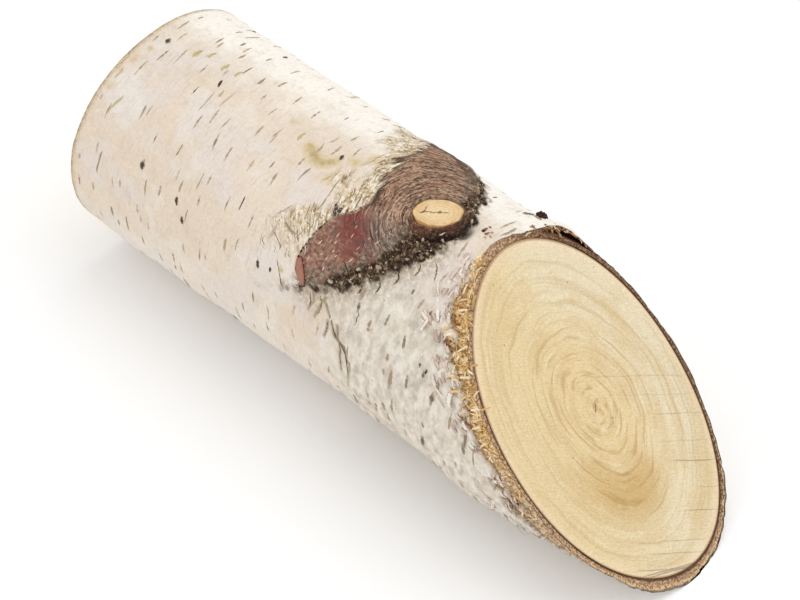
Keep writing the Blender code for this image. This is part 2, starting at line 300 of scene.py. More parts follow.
def lumps(x, angle, cell, count, seed):
    """1 at the top of each lump and 0 between: one less the distance to the nearest seeded point."""
    spots = np.random.default_rng(seed).random((NOISE_ROWS, count, 2))
    u, v = x / cell, angle / 360 * count
    i, j = np.floor(u).astype(int), np.floor(v).astype(int)
    nearest = np.full(np.broadcast(u, v).shape, 4.0)
    for di in (-1, 0, 1):
        for dj in (-1, 0, 1):
            spot = spots[(i + di) % NOISE_ROWS, (j + dj) % count]
            nearest = np.minimum(nearest, np.hypot(i + di + spot[..., 0] - u, j + dj + spot[..., 1] - v))
    return np.clip(1 - nearest, 0, 1)


# %% [markdown]
# ## The marks on the bark
#
# Each kind of mark is a rule that gives 1 where the mark is and 0 where it isn't. The same rules shape
# the surface and, stored on the mesh as attributes, colour it. So the painted shade of a hollow falls
# exactly where it is hollow, which two separate textures could never promise.

# %% Where the branch's scar is, and where it crumbles
def streaks(x, angle, cell, count, seed, layers=3):
    """Noise from -1 to 1 that is stretched round the branch, as its growth lines are."""
    return rough(stub_distance(x, angle), branch_direction(x, angle), cell, count, seed, layers)


def over_the_top(x, angle):
    """1 on the part of the scar that runs over the top of the log, behind its middle line."""
    return smooth_step((16 - turned(angle, 0)) / 18) * smooth_step(0.3 - patch_across(x, angle))


def scar_ragged(x, angle):
    """How far noise moves the scar's edge, as a share of its width: in long streaks on top of the log."""
    fine = 0.035 * rough(x, angle, 5 * MM, 60, 11) + 0.03 * rough(x, angle, 1.5 * MM, 190, 12, 2)
    return fine + 0.30 * over_the_top(x, angle) * streaks(x, angle, 1.8 * MM, 16, 13)


def scar_back_edge(angle):
    """x of the scar's edge on the side of the square end, from a few places where it bends."""
    bends = np.array(SCAR_BACK)
    return np.interp(turned(angle, 0), bends[:, 0], bends[:, 1]) * MM


def scar_inside(x, angle):
    """How far inside the scar's edge a point is, as a share of its width: less than 0 outside it."""
    behind = (x - scar_back_edge(angle)) / PATCH_HALF_WIDTH
    room = smooth_step((turned(angle, 0) + 40) / 10) * smooth_step(-patch_across(x, angle) / 0.3)
    return np.minimum(behind, patch_depth(x, angle) + 0.35 * room) + scar_ragged(x, angle)


def scar(x, angle):
    """1 on the dark scar: a smooth step over its ragged edge, which is wider on top of the log."""
    return smooth_step(scar_inside(x, angle) / (0.05 + 0.12 * over_the_top(x, angle)) + 0.5)


def crumb_start(angle):
    """The share of the scar's width at which it starts to crumble: earlier on the near side."""
    return 0.60 - 0.30 * smooth_step((turned(angle, 0) - 2) / 14)


def crumbs(x, angle):
    """1 where old bark crumbles: a step across the scar towards the slant, times one at its outline."""
    across = patch_across(x, angle) + 0.20 * rough(x, angle, 4 * MM, 70, 15)
    inside = patch_depth(x, angle) + 0.12 + 0.20 * rough(x, angle, 2.8 * MM, 100, 16, 3)
    return smooth_step((across - crumb_start(angle)) / 0.16) * smooth_step(inside / 0.06)


def ashen(x, angle):
    """1 where the scar greys before it crumbles: the steps of the crumbs, begun earlier and made wider."""
    across = patch_across(x, angle) + 0.30 * rough(x, angle, 5 * MM, 60, 17)
    inside = patch_depth(x, angle) + 0.22 + 0.22 * rough(x, angle, 3.5 * MM, 80, 18, 3)
    return smooth_step((across - crumb_start(angle) + 0.35) / 0.35) * smooth_step(inside / 0.2)


def wrinkled(x, angle):
    """1 in the cracked cream bark behind and above the scar: steps of the distance and of the angle."""
    side = turned(angle, 0)
    outside = -patch_depth(x, angle)
    reach = smooth_step((0.85 + 0.45 * rough(x, angle, 7 * MM, 40, 19, 3) - outside) / 0.35)
    behind = smooth_step(-patch_across(x, angle) / 0.5)
    return reach * behind * smooth_step((62 - side) / 25) * smooth_step((side + 62) / 24)


def weathered(x, angle):
    """1 on the grey, scaly bark of the near side: a ragged step along the log, times one from each side."""
    side = turned(angle, 0)
    patchy = 0.35 * rough(x, angle, 12 * MM, 22, 20)
    along = smooth_step((x + 14 * MM) / (26 * MM) + patchy)
    return along * smooth_step((side - 22) / 26) * smooth_step((172 - side) / 30)


def dusty(x, angle):
    """1 in the grey dust below the crumbling edge: a bell of the distance outside the scar, times steps."""
    outside = np.minimum(patch_depth(x, angle), 0) + 0.12 * rough(x, angle, 6 * MM, 60, 28, 3)
    below = smooth_step(patch_across(x, angle) / 0.6) * smooth_step((turned(angle, 0) - 4) / 20)
    return bell(outside / 0.48) * below * smooth_step((x + 22 * MM) / (10 * MM))


# %% Furrows: x and angle of each turn, in millimetres and degrees, and the distance from them
FURROWS = (
    ((-4.9, 63.7), (-0.9, 68.9), (1.9, 75.0), (7.1, 77.4), (10.2, 85.0), (9.5, 98.5)),
    ((-2.1, 69.7), (-1.6, 74.0), (-2.3, 78.1)),
    ((2.1, 69.7), (5.5, 79.7), (6.5, 90.5)),
    ((-12.0, 61.5), (-10.0, 66.0), (-11.5, 71.0)),
    ((-6.0, 61.5), (-7.0, 66.0), (-8.0, 72.0)),
    ((-34.0, 44.0), (-29.0, 46.0), (-26.0, 44.0)),
)
FURROW_HALF_WIDTH, FURROW_DEPTH = 0.75 * MM, 0.45 * MM


def furrow(x, angle):
    """1 in the middle of a furrow: a bell of the distance to the nearest of its straight stretches."""
    round_log = np.radians(turned(angle, 0)) * RADIUS_AT_SLANT
    nearest = np.full(np.broadcast(x, angle).shape, 1.0)
    for turns in FURROWS:
        for start, end in zip(turns, turns[1:]):
            from_x, from_s = start[0] * MM, math.radians(start[1]) * RADIUS_AT_SLANT
            run_x, run_s = end[0] * MM - from_x, math.radians(end[1]) * RADIUS_AT_SLANT - from_s
            share = ((x - from_x) * run_x + (round_log - from_s) * run_s) / (run_x**2 + run_s**2)
            share = np.clip(share, 0, 1)
            off_x, off_s = x - from_x - share * run_x, round_log - from_s - share * run_s
            nearest = np.minimum(nearest, np.hypot(off_x, off_s))
    ragged = 1 + 0.5 * rough(x, angle, 2.2 * MM, 120, 27, 2)
    return bell(nearest / (FURROW_HALF_WIDTH * ragged))


# %% Where the skin is torn beside the slanting cut
def torn_width(angle):
    """How far from the cut the skin is torn: 3 mm on top, 11 on the near side, 20 at the bottom."""
    return (3 + 7.5 * smooth_step((angle - 12) / 36) + 9 * smooth_step((angle - 84) / 34)) * MM


def torn(x, angle):
    """1 where the saw tore the white skin off: a step over a ragged width, times one at each end."""
    side = turned(angle, 0)
    ends = smooth_step((side - TORN_FROM_ANGLE) / 10) * smooth_step((TORN_TO_ANGLE - side) / 12)
    ragged = 1 + 0.75 * rough(x, angle, 6 * MM, 50, 21) + 0.25 * rough(x, angle, 1.6 * MM, 170, 25, 2)
    return ends * smooth_step((torn_width(side) * ragged - from_slant(x, angle)) / (0.9 * MM))


# %% The hollow beside the branch, which gets painted shade, and the lifted bark
def along_oval(from_x, from_y):
    """A step in plan from the oval's middle, turned into a part along the oval and a part across it."""
    cosine, sine = math.cos(STUB_TURN), math.sin(STUB_TURN)
    return from_x * cosine + from_y * sine, from_y * cosine - from_x * sine


def oval_distance(x, y):
    """The distance in plan from the outline of the branch's oval face: less than 0 inside it."""
    along, aside = along_oval(x - STUB_X, y - STUB_Y)
    return (np.hypot(along / STUB_LONG, aside / STUB_SHORT) - 0.5) * (STUB_LONG + STUB_SHORT) / 2


def crevice(x, y):
    """1 in the hollow below the branch, and in the deep pit at its end towards the slanting cut."""
    towards = ((x - STUB_X) - 0.55 * (y - STUB_Y)) / np.maximum(np.hypot(x - STUB_X, y - STUB_Y), MM)
    moat = bell((oval_distance(x, y) - 1.8 * MM) / (1.3 * MM)) * smooth_step((towards - 0.25) / 0.7)
    pit = bell(np.hypot(x - PIT_X, (y - PIT_Y) * 0.8) / PIT_SIZE)
    return np.maximum(moat * 0.8, pit)


def flap_lift(x, angle):
    """How far the loose bark on top has lifted beside the slanting cut."""
    return FLAP_LIFT * bell((x - FLAP_X) / FLAP_LENGTH) * bell(turned(angle, FLAP_ANGLE) / FLAP_SPREAD)


# %% [markdown]
# ## The bark's surface
#
# White birch bark is paper on paper: thin layers that end in low steps, more of them along the log than
# round it. Over this come the wrinkles round the knot, growth lines in the scar, crumbs at its edge,
# and the torn fibres at the saw cut. All of it is added to the trunk's radius.

# %% The finished radius of the bark
def paper(x, angle):
    """Layers that end in steps: slow noise turned into a staircase, 0.13 mm a stair."""
    level = 5 * rough(x, angle, 14 * MM, 9, 31, 5)
    stair = np.floor(level) + smooth_step((level % 1) / 0.16)
    return 0.13 * MM * stair


def growth_lines(x, angle):
    """Ridges that run round the branch, 1.3 mm apart: a sine of the distance, bent by slow noise."""
    wander = 1.3 * rough(x, angle, 15 * MM, 16, 41, 2)
    distance = stub_distance(x, angle) / (1.3 * MM)
    return 0.15 * np.sin(2 * math.pi * (distance + wander)) + 1.1 * streaks(x, angle, 1.5 * MM, 20, 43)


def thinner_far_side(x, angle):
    """How much thinner the bark is on the far side, close to the slanting cut."""
    return 0.7 * MM * bell(from_slant(x, angle) / (12 * MM)) * smooth_step((-turned(angle, 0) - 70) / 50)


def held_back(radius, angle):
    """The radius, held back softly where it would pass the solid's widest place on either side."""
    sine = np.sin(np.radians(angle))
    widest = np.where(sine > 0, AXIS_Y - LOW[1], HIGH[1] - AXIS_Y) / np.maximum(np.abs(sine), 0.5)
    room = widest - radius
    return widest - (room + np.sqrt(room**2 + SOFT_LIMIT**2)) / 2


def skin_radius(x, angle):
    """The outside of the bark: the trunk, the knot, the waves and the loose flap, plus fine relief.

    Each kind of relief counts where that kind of bark is. The bark is never thinner than its least.
    """
    side = turned(angle, 0)
    on_scar, crumbling, bare, grey = scar(x, angle), crumbs(x, angle), torn(x, angle), weathered(x, angle)
    y = AXIS_Y - RADIUS_AT_SLANT * np.sin(np.radians(angle))
    lip = LIP_HEIGHT * bell((patch_depth(x, angle) + LIP_OUTSIDE) / LIP_WIDTH)
    form = trunk_radius(x, angle) + knot_swelling(x, angle) + undulation(x, angle) + flap_lift(x, angle)
    form = form + lip * smooth_step((PATCH_X - x) / LIP_FADE) - thinner_far_side(x, angle)
    white = paper(x, angle) + 0.10 * MM * rough(x, angle, 3.5 * MM, 60, 51, 3)
    scaly = grey * 0.16 * rough(x, angle, 5 * MM, 50, 53, 3) * MM - FURROW_DEPTH * furrow(x, angle)
    lines = growth_lines(x, angle) * (0.07 + 0.16 * smooth_step((34 - side) / 25)) * MM
    scarred = lines + 0.12 * MM * rough(x, angle, 3 * MM, 90, 55)
    crumbled = 0.75 * lumps(x, angle, 1.7 * MM, 170, 61) + 0.8 * rough(x, angle, 2.4 * MM, 120, 63) - 0.65
    fibres = (0.65 * rough(x, angle, 3.2 * MM, 200, 71, 3) - 0.35) * MM
    folds = 0.32 * MM * streaks(x, angle, 2.2 * MM, 22, 81, 4) * wrinkled(x, angle) * (1 - on_scar)
    fine = (white + scaly) * (1 - on_scar) * (1 - bare) + scarred * on_scar * (1 - crumbling)
    at_rim = bell(from_slant(x, angle) / (2.2 * MM))
    chips = 0.7 * MM * np.maximum(rough(x, angle, 2.4 * MM, 130, 97, 3), 0) * at_rim
    fine = fine + crumbled * crumbling * MM - chips + folds - PIT_DEPTH * crevice(x, y)
    fine = fine + bare * (fibres - TORN_DEPTH)
    socket = 2.5 * MM * smooth_step(-oval_distance(x, y) / (0.7 * MM))
    least = wood_radius(x, angle) + SEAT_GAP + THINNEST_BARK
    return held_back(np.maximum(form + fine - socket, least), angle)


# %% [markdown]
# ## From an array to a mesh
#
# A grid of points becomes a mesh by joining each point to its neighbours. foreach_set copies a whole
# array into the mesh in one step. Every shape here is closed, so its volume tells whether its faces
# point out: if the sum comes out below zero, all the faces are turned round.

# %% Grids and their faces
def grid_of(rows, columns):
    """Two arrays: the row's value and the column's value at each point of a grid."""
    return np.meshgrid(rows, columns, indexing="ij")


def round_turns(count):
    """Equal turns round a circle, in radians, without the last one, which is the first again."""
    return np.linspace(0, 2 * math.pi, count, endpoint=False)


def grid_faces(rows, columns, close_rows=False, close_columns=False):
    """The faces between the points of a grid, four point numbers each. A closed side joins its ends."""
    i, j = grid_of(np.arange(rows - (not close_rows)), np.arange(columns - (not close_columns)))
    i2, j2 = (i + 1) % rows, (j + 1) % columns
    corners = [i * columns + j, i * columns + j2, i2 * columns + j2, i2 * columns + j]
    return np.stack(corners, -1).reshape(-1, 4)


def end_cap_faces(rows, columns):
    """The two faces that close a tube: all the points of its first row, and all of its last."""
    return np.stack([np.arange(columns)[::-1], (rows - 1) * columns + np.arange(columns)])


# %% From points and faces to an object that rides on the log
def signed_volume(points, faces):
    """The volume inside closed faces: the sum over their triangles of a corner dotted with a cross."""
    total = 0.0
    for k in range(1, faces.shape[1] - 1):
        a, b, c = points[faces[:, 0]], points[faces[:, k]], points[faces[:, k + 1]]
        total += np.einsum("ij,ij->", a, np.cross(b, c)) / 6
    return total


def mesh_object(name, points, face_blocks, finish, attributes=None, sharp=None):
    """A smooth-shaded object that rides on the log, from points and blocks of faces with equal corners."""
    points = np.clip(np.asarray(points, float).reshape(-1, 3), LOW, HIGH)
    if sum(signed_volume(points, block) for block in face_blocks) < 0:
        face_blocks = [block[:, ::-1] for block in face_blocks]
    sizes = np.concatenate([np.full(len(block), block.shape[1]) for block in face_blocks])
    corners = np.concatenate([block.ravel() for block in face_blocks])
    mesh = bpy.data.meshes.new(name)
    mesh.vertices.add(len(points))
    mesh.vertices.foreach_set("co", points.ravel())
    mesh.loops.add(len(corners))
    mesh.loops.foreach_set("vertex_index", corners)
    mesh.polygons.add(len(sizes))
    mesh.polygons.foreach_set("loop_start", np.concatenate([[0], np.cumsum(sizes)[:-1]]))
    mesh.update(calc_edges=True)
    mesh.validate()
    mesh.shade_smooth()
    if sharp is not None:
        mesh.set_sharp_from_angle(angle=math.radians(sharp))
    for key, values in (attributes or {}).items():
        layer = mesh.attributes.new(key, "FLOAT", "POINT")
        layer.data.foreach_set("value", np.broadcast_to(values, len(points)).astype(np.float32))
    obj = bpy.data.objects.new(name, mesh)
    bpy.context.scene.collection.objects.link(obj)
    mesh.materials.append(finish.material)
    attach(obj, "root")
    print(name, len(points), "points,", int((sizes - 2).sum()), "triangles")
    return obj


def grid_object(name, points, finish, attributes=None, ring=False, sharp=None):
    """A closed object from a grid that goes round. A ring's last row joins its first; else both get a cap."""
    rows, columns = points.shape[:2]
    blocks = [grid_faces(rows, columns, ring, True)]
    if not ring:
        blocks.append(end_cap_faces(rows, columns))
    return mesh_object(name, points, blocks, finish, attributes, sharp)


# %% [markdown]
# ## A small language for materials
#
# A material is a sum of patterns. Written as nodes, a sum is a box with two wires. Written as Python,
# it is a plus sign. The class below wraps a node's output, so that arithmetic on it adds the boxes, and
# one method adds any other node: settings first, then the values or wires of its sockets.

# %% The wire: a node's output that can be added, multiplied and so on
class Wire:
    """A node's output. Arithmetic on wires and numbers adds the Math nodes that work it out."""

    def __init__(self, finish, socket):
        self.finish = finish
        self.socket = socket

    def math(self, operation, *values):
        return self.finish.node("ShaderNodeMath", {"operation": operation}, dict(enumerate(values)))

    def __add__(self, other):
        return self.math("ADD", self, other)

    def __sub__(self, other):
        return self.math("SUBTRACT", self, other)

    def __rsub__(self, other):
        return self.math("SUBTRACT", other, self)

    def __mul__(self, other):
        return self.math("MULTIPLY", self, other)

    def __truediv__(self, other):
        return self.math("DIVIDE", self, other)

    def __pow__(self, other):
        return self.math("POWER", self, other)

    def __abs__(self):
        return self.math("ABSOLUTE", self)

    __radd__ = __add__
    __rmul__ = __mul__


def srgb(red, green, blue):
    """A colour as a screen shows it, 0 to 255, turned into the linear light that shaders add up."""
    shares = [v / 255 for v in (red, green, blue)]
    return (*[v / 12.92 if v <= 0.04045 else ((v + 0.055) / 1.055) ** 2.4 for v in shares], 1.0)


# %% The finish: a material, and the nodes that its patterns are made of
class Finish:
    """A material with a Principled shader. Patterns are sized in millimetres."""

    def __init__(self, name, roughness, specular=0.25):
        self.material = bpy.data.materials.new(name)
        self.material.use_nodes = True
        self.tree = self.material.node_tree
        self.shader = self.tree.nodes["Principled BSDF"]
        self.shader.inputs["Roughness"].default_value = roughness
        self.shader.inputs["Specular IOR Level"].default_value = specular
        self.coordinates = self.node("ShaderNodeTexCoord", {}, {}, "Object")

    def node(self, kind, settings, inputs, output=0):
        """Adds a node of this kind, with its settings and then its inputs, and gives one output."""
        node = self.tree.nodes.new(kind)
        for key, value in settings.items():
            if key == "stops":
                self.set_stops(node.color_ramp, value)
            else:
                setattr(node, key, value)
        for key, value in inputs.items():
            if isinstance(value, Wire):
                self.tree.links.new(value.socket, node.inputs[key])
            else:
                node.inputs[key].default_value = value
        return Wire(self, node.outputs[output])

    @staticmethod
    def set_stops(ramp, stops):
        """A ramp has two stops from the start, and gets more as needed."""
        while len(ramp.elements) < len(stops):
            ramp.elements.new(1.0)
        for element, (position, colour) in zip(ramp.elements, stops):
            element.position = position
            element.color = srgb(*colour)

    def feed(self, key, wire):
        """Links a wire to a socket of the shader."""
        self.tree.links.new(wire.socket, self.shader.inputs[key])

    def scaled(self, size, shift=0.0):
        """Object coordinates in cells of this size, one number or three, in millimetres."""
        size = (size, size, size) if np.isscalar(size) else size
        cells = tuple(1 / (s * MM) for s in size)
        inputs = {0: self.coordinates, 1: cells, 2: (shift, shift * 0.7, shift * 1.3)}
        return self.node("ShaderNodeVectorMath", {"operation": "MULTIPLY_ADD"}, inputs)

    def noise_at(self, vector, detail=3.0, roughness=0.55):
        """Noise about 0.5 at a place given in cells."""
        inputs = {"Vector": vector, "Scale": 1.0, "Detail": detail, "Roughness": roughness}
        return self.node("ShaderNodeTexNoise", {}, inputs, "Fac")

    def noise(self, size, shift=0.0, detail=3.0, roughness=0.55):
        """Noise about 0.5, with features of this size in millimetres."""
        return self.noise_at(self.scaled(size, shift), detail, roughness)

    def spots(self, size, shift=0.0):
        """The distance to the nearest of scattered points, one in each cell of this size."""
        inputs = {"Vector": self.scaled(size, shift), "Scale": 1.0}
        return self.node("ShaderNodeTexVoronoi", {}, inputs, "Distance")

    def step(self, value, low, high):
        """0 below low, 1 above high, and a smooth S between. With high first it falls instead."""
        start, end = (0.0, 1.0) if low < high else (1.0, 0.0)
        inputs = {"Value": value, "From Min": min(low, high), "From Max": max(low, high)}
        inputs |= {"To Min": start, "To Max": end}
        return self.node("ShaderNodeMapRange", {"interpolation_type": "SMOOTHSTEP"}, inputs)

    def attribute(self, name):
        """A value stored on the mesh's points."""
        return self.node("ShaderNodeAttribute", {"attribute_name": name}, {}, "Fac")

    def split(self):
        """The Object coordinates as three numbers in millimetres."""
        return [self.node("ShaderNodeSeparateXYZ", {}, {0: self.scaled(1.0)}, axis) for axis in "XYZ"]

    def join(self, x, y, z):
        """Three wires or numbers as one vector."""
        return self.node("ShaderNodeCombineXYZ", {}, {0: x, 1: y, 2: z})

    def ramp(self, value, *stops):
        """A colour for each value: stops are pairs of a position and a colour, which blend in between."""
        return self.node("ShaderNodeValToRGB", {"stops": stops}, {0: value})

    def mix(self, factor, first, second):
        """first where the factor is 0, second where it is 1. Each is a wire, or three numbers up to 255."""
        first, second = (srgb(*colour) if isinstance(colour, tuple) else colour for colour in (first, second))
        settings = {"data_type": "RGBA", "clamp_factor": True}
        return self.node("ShaderNodeMix", settings, {0: factor, 6: first, 7: second}, 2)

    def times(self, colour, factor):
        """The colour made lighter or darker by a factor about 1."""
        return self.node("ShaderNodeVectorMath", {"operation": "SCALE"}, {0: colour, "Scale": factor})

    def bump(self, height):
        """Feeds a height in millimetres to the shader's normal."""
        inputs = {"Height": height, "Strength": 1.0, "Distance": MM}
        self.feed("Normal", self.node("ShaderNodeBump", {}, inputs, "Normal"))


# %% [markdown]
# ## Camera, floor and light
#
# The log is seen from above its near side, with a long lens: 120 mm flattens the perspective as a
# catalogue photo does. The place and the angles were worked out from the log's outline. The floor is
# nearly white, and the light is a white sky with one large soft lamp, so that shadows stay faint.

# %% Camera
LENS, SENSOR_WIDTH = 120.0, 36.0
CAMERA_PLACE = (0.45915, -0.48836, 0.71830)
CAMERA_AZIMUTH, CAMERA_ELEVATION, CAMERA_ROLL = 43.813, 45.322, -0.253

camera_data = bpy.data.cameras.new("camera")
camera_data.lens = LENS
camera_data.sensor_width = SENSOR_WIDTH
camera_data.clip_start, camera_data.clip_end = 0.01, 60.0
camera = bpy.data.objects.new("camera", camera_data)
bpy.context.scene.collection.objects.link(camera)
camera.matrix_world = (
    Matrix.Translation(CAMERA_PLACE)
    @ Matrix.Rotation(math.radians(CAMERA_AZIMUTH), 4, "Z")
    @ Matrix.Rotation(math.radians(90 - CAMERA_ELEVATION), 4, "X")
    @ Matrix.Rotation(math.radians(CAMERA_ROLL), 4, "Z")
)
bpy.context.scene.camera = camera

# %% Floor
FLOOR_HALF = 25.0
floor_finish = Finish("floor_paper", roughness=0.95, specular=0.0)
floor_finish.shader.inputs["Base Color"].default_value = srgb(252, 252, 252)
floor_mesh = bpy.data.meshes.new("floor")
floor_corners = [(x * FLOOR_HALF, y * FLOOR_HALF, 0.0) for x, y in ((-1, -1), (1, -1), (1, 1), (-1, 1))]
floor_mesh.from_pydata(floor_corners, [], [(0, 1, 2, 3)])
floor_mesh.materials.append(floor_finish.material)
floor = bpy.data.objects.new("floor", floor_mesh)
bpy.context.scene.collection.objects.link(floor)

# %% Light
SKY_STRENGTH = 0.86
LAMPS = (
    ("top_lamp", 2.9, 0.8, (0.10, 0.25, 1.05)),
    ("near_lamp", 2.6, 1.2, (-0.35, -1.15, 0.42)),
)

world = bpy.data.worlds.new("white_sky")
world.use_nodes = True
world.node_tree.nodes["Background"].inputs["Color"].default_value = (1.0, 1.0, 1.0, 1.0)
world.node_tree.nodes["Background"].inputs["Strength"].default_value = SKY_STRENGTH
bpy.context.scene.world = world
for name, power, size, lamp_place in LAMPS:
    lamp_data = bpy.data.lights.new(name, "AREA")
    lamp_data.energy = power
    lamp_data.size = size
    lamp = bpy.data.objects.new(name, lamp_data)
    bpy.context.scene.collection.objects.link(lamp)
    lamp.location = lamp_place
    lamp.rotation_euler = Vector(lamp_place).to_track_quat("Z", "Y").to_euler()
bpy.context.scene.view_settings.view_transform = "Standard"

# %% [markdown]
# ## The finish of the bark
#
# From afar birch bark is white. Close to, it is cream and pink paper with grey dust on it, faint
# dashes all round the trunk, and specks. The attributes on the mesh say where it turns into the scar,
# the crumbs, the torn inner bark and the sawn rim. Each of these has its own colours, made by its own
# function, and the last function lays them over each other.

# %% White bark
bark_finish = Finish("birch_bark", roughness=0.82, specular=0.2)


def white_paper(f, x, y, z):
    """Cream paper with peach and grey patches, whiter over the top as painted light from above, with dust and
    thin dashes.
    """
    dust, mid, wide = f.noise(4.5, 5.3, 4, 0.65), f.noise(15, 7.7, 3), f.noise(42, 3.1, 3)
    paper_colour = f.ramp(
        wide, (0.36, (223, 212, 199)), (0.47, (219, 203, 183)), (0.60, (224, 210, 192))
    )
    paper_colour = f.mix(f.step(mid, 0.46, 0.64) * 0.5, paper_colour, (221, 203, 184))
    paper_colour = f.mix(f.step(f.noise(24, 6.4, 4), 0.50, 0.60) * 0.6, paper_colour, (221, 212, 206))
    paper_colour = f.mix(f.step(mid, 0.44, 0.34) * 0.4, paper_colour, (229, 222, 213))
    # Painted highlight: near-white over the top of the log, where light from above falls.
    painted_top_light = f.step(y + (mid - 0.5) * 40.0 - 4.0, -10.0, 16.0) * f.step(x, 70.0, 30.0)
    paper_colour = f.mix(painted_top_light * 0.85, paper_colour, (248, 243, 234))
    paper_colour = f.mix(f.step(dust, 0.52, 0.70) * 0.30, paper_colour, (204, 184, 162))
    low_side = f.step(z + (mid - 0.5) * 40.0, 58.0, 20.0) * f.step(y, 30.0, -10.0)
    paper_colour = f.mix(low_side * 0.5, paper_colour, (229, 223, 213))
    dashes, threads = f.noise((0.7, 6, 6), 4.2, 2, 0.5), f.noise((0.3, 3.5, 3.5), 8.8, 2, 0.5)
    paper_colour = f.mix(f.step(dashes, 0.60, 0.74) * 0.26, paper_colour, (190, 170, 148))
    paper_colour = f.mix(f.step(threads, 0.60, 0.75) * 0.18, paper_colour, (172, 154, 134))
    speckled = f.step(f.spots(1.3, 2.2), 0.20, 0.08) * f.step(f.noise(11, 6.6, 3), 0.52, 0.62)
    return f.mix(speckled * 0.5, paper_colour, (134, 120, 104)), dashes


def grey_scales(f, colour):
    """The near side's old bark: pale grey paper, with soft clouds and a few olive-grey smudges."""
    clouds, patches = f.noise((3.2, 5.0, 5.0), 3.4, 4, 0.6), f.noise(9, 9.3, 3)
    scaly = f.ramp(
        clouds, (0.36, (192, 182, 167)), (0.48, (212, 203, 189)), (0.62, (228, 220, 207))
    )
    scaly = f.mix(f.step(patches, 0.52, 0.68) * 0.45, scaly, (214, 200, 182))
    scaly = f.mix(f.step(f.noise((1.0, 2.2, 2.2), 5.7, 4, 0.7), 0.61, 0.72) * 0.45, scaly, (150, 140, 122))
    colour = f.mix(f.attribute("weathered"), colour, scaly)
    dust = f.attribute("dusty") * f.step(f.noise(1.6, 7.4, 4, 0.7), 0.36, 0.60)
    return f.mix(dust * 0.9, colour, (152, 137, 118))


# %% Stains, furrows and wrinkles
def stained_paper(f, colour):
    """Olive-yellow stains with soft and broken rims, and olive-brown furrows."""
    broken = (f.noise(1.6, 3.3, 3, 0.6) - 0.5) * 0.9 + (f.noise(5.0, 1.3, 3) - 0.5) * 1.1
    stain = f.attribute("stain") + broken
    colour = f.mix(f.step(stain, 0.40, 1.05) * 0.62, colour, (205, 182, 132))
    colour = f.mix(f.step(stain, 0.9, 1.4) * 0.6, colour, (168, 146, 90))
    furrow = f.attribute("furrow") + broken * 0.35
    colour = f.mix(f.step(furrow, 0.25, 0.80) * 0.75, colour, (168, 154, 124))
    return f.mix(f.step(furrow, 0.72, 1.1) * 0.75, colour, (104, 92, 68))


def wrinkled_paper(f, colour, arcs):
    """Cream bark in folds round the knot, tan and olive between them, with brown flecks in the cracks."""
    folds = f.ramp(
        f.noise(1.3, 4.8, 4, 0.7) * 0.55 + arcs(1.0, 4.0, 2.2) * 0.45, (0.40, (132, 108, 80)),
        (0.47, (190, 168, 134)), (0.54, (230, 217, 194)), (0.63, (249, 244, 232)),
    )
    folds = f.mix(f.step(f.noise(3.2, 8.4, 3), 0.54, 0.64) * 0.5, folds, (200, 176, 132))
    folds = f.mix(f.step(arcs(0.6, 6.0, 6.4), 0.60, 0.72) * 0.6, folds, (126, 100, 74))
    folds = f.mix(f.step(f.noise(0.9, 4.4, 3, 0.7), 0.59, 0.68) * 0.65, folds, (102, 86, 66))
    patchy = f.step(f.noise(6.0, 1.2, 4), 0.30, 0.46)
    return f.mix(f.attribute("wrinkled") * patchy, colour, folds)


# %% The scar
def aged_bark(f, arcs, hollow, distance):
    """Brown streaks on top, and a wing that is brown at its tip, red in the middle and grey by the branch."""
    mottled = arcs(0.8, 3.5, 1.5) * 0.45 + f.noise(1.2, 6.6, 4, 0.7) * 0.55
    top = f.ramp(
        mottled, (0.40, (68, 50, 40)), (0.47, (120, 94, 76)), (0.53, (158, 128, 105)),
        (0.62, (196, 166, 140)),
    )
    top = f.mix(f.step(f.noise(5.5, 7.5, 3), 0.48, 0.62) * 0.5, top, (158, 116, 90))
    top = f.mix(f.step(arcs(0.55, 5.0, 3.6), 0.58, 0.70) * 0.55, top, (76, 58, 48))
    border = f.attribute("border") + (f.noise(1.8, 2.6, 4, 0.65) - 0.5) * 0.9
    top = f.mix(f.step(border, 0.45, 0.85) * 0.8, top, (66, 50, 40))
    red = f.ramp(
        f.noise(5.0, 2.9, 3) * 0.6 + arcs(0.8, 4.5, 4.1) * 0.4, (0.38, (88, 60, 58)), (0.47, (124, 72, 62)),
        (0.55, (114, 52, 44)), (0.66, (156, 112, 94)),
    )
    brown = f.ramp(
        f.noise(1.4, 5.2, 4, 0.7), (0.40, (112, 80, 66)), (0.52, (152, 116, 98)), (0.66, (186, 152, 128))
    )
    tip = f.step(distance + (f.noise(6, 3.8, 3) - 0.5) * 14.0, 32.0, 41.0)
    red = f.mix(tip * 0.85, red, brown)
    grey_wing = f.ramp(
        arcs(0.7, 4.0, 9.1), (0.40, (84, 70, 62)), (0.50, (122, 104, 92)), (0.62, (170, 156, 142))
    )
    wing_colour = f.mix(f.attribute("near_branch"), red, grey_wing)
    colour = f.mix(f.attribute("wing"), top, wing_colour)
    colour = f.mix(f.step(f.noise(0.7, 9.4, 3), 0.61, 0.72) * 0.35, colour, (196, 168, 148))
    # Painted shade: nearly black where the scar's skin is sunk.
    return f.mix(f.step(hollow, 0.45, 0.95) * 0.85, colour, (48, 34, 28))


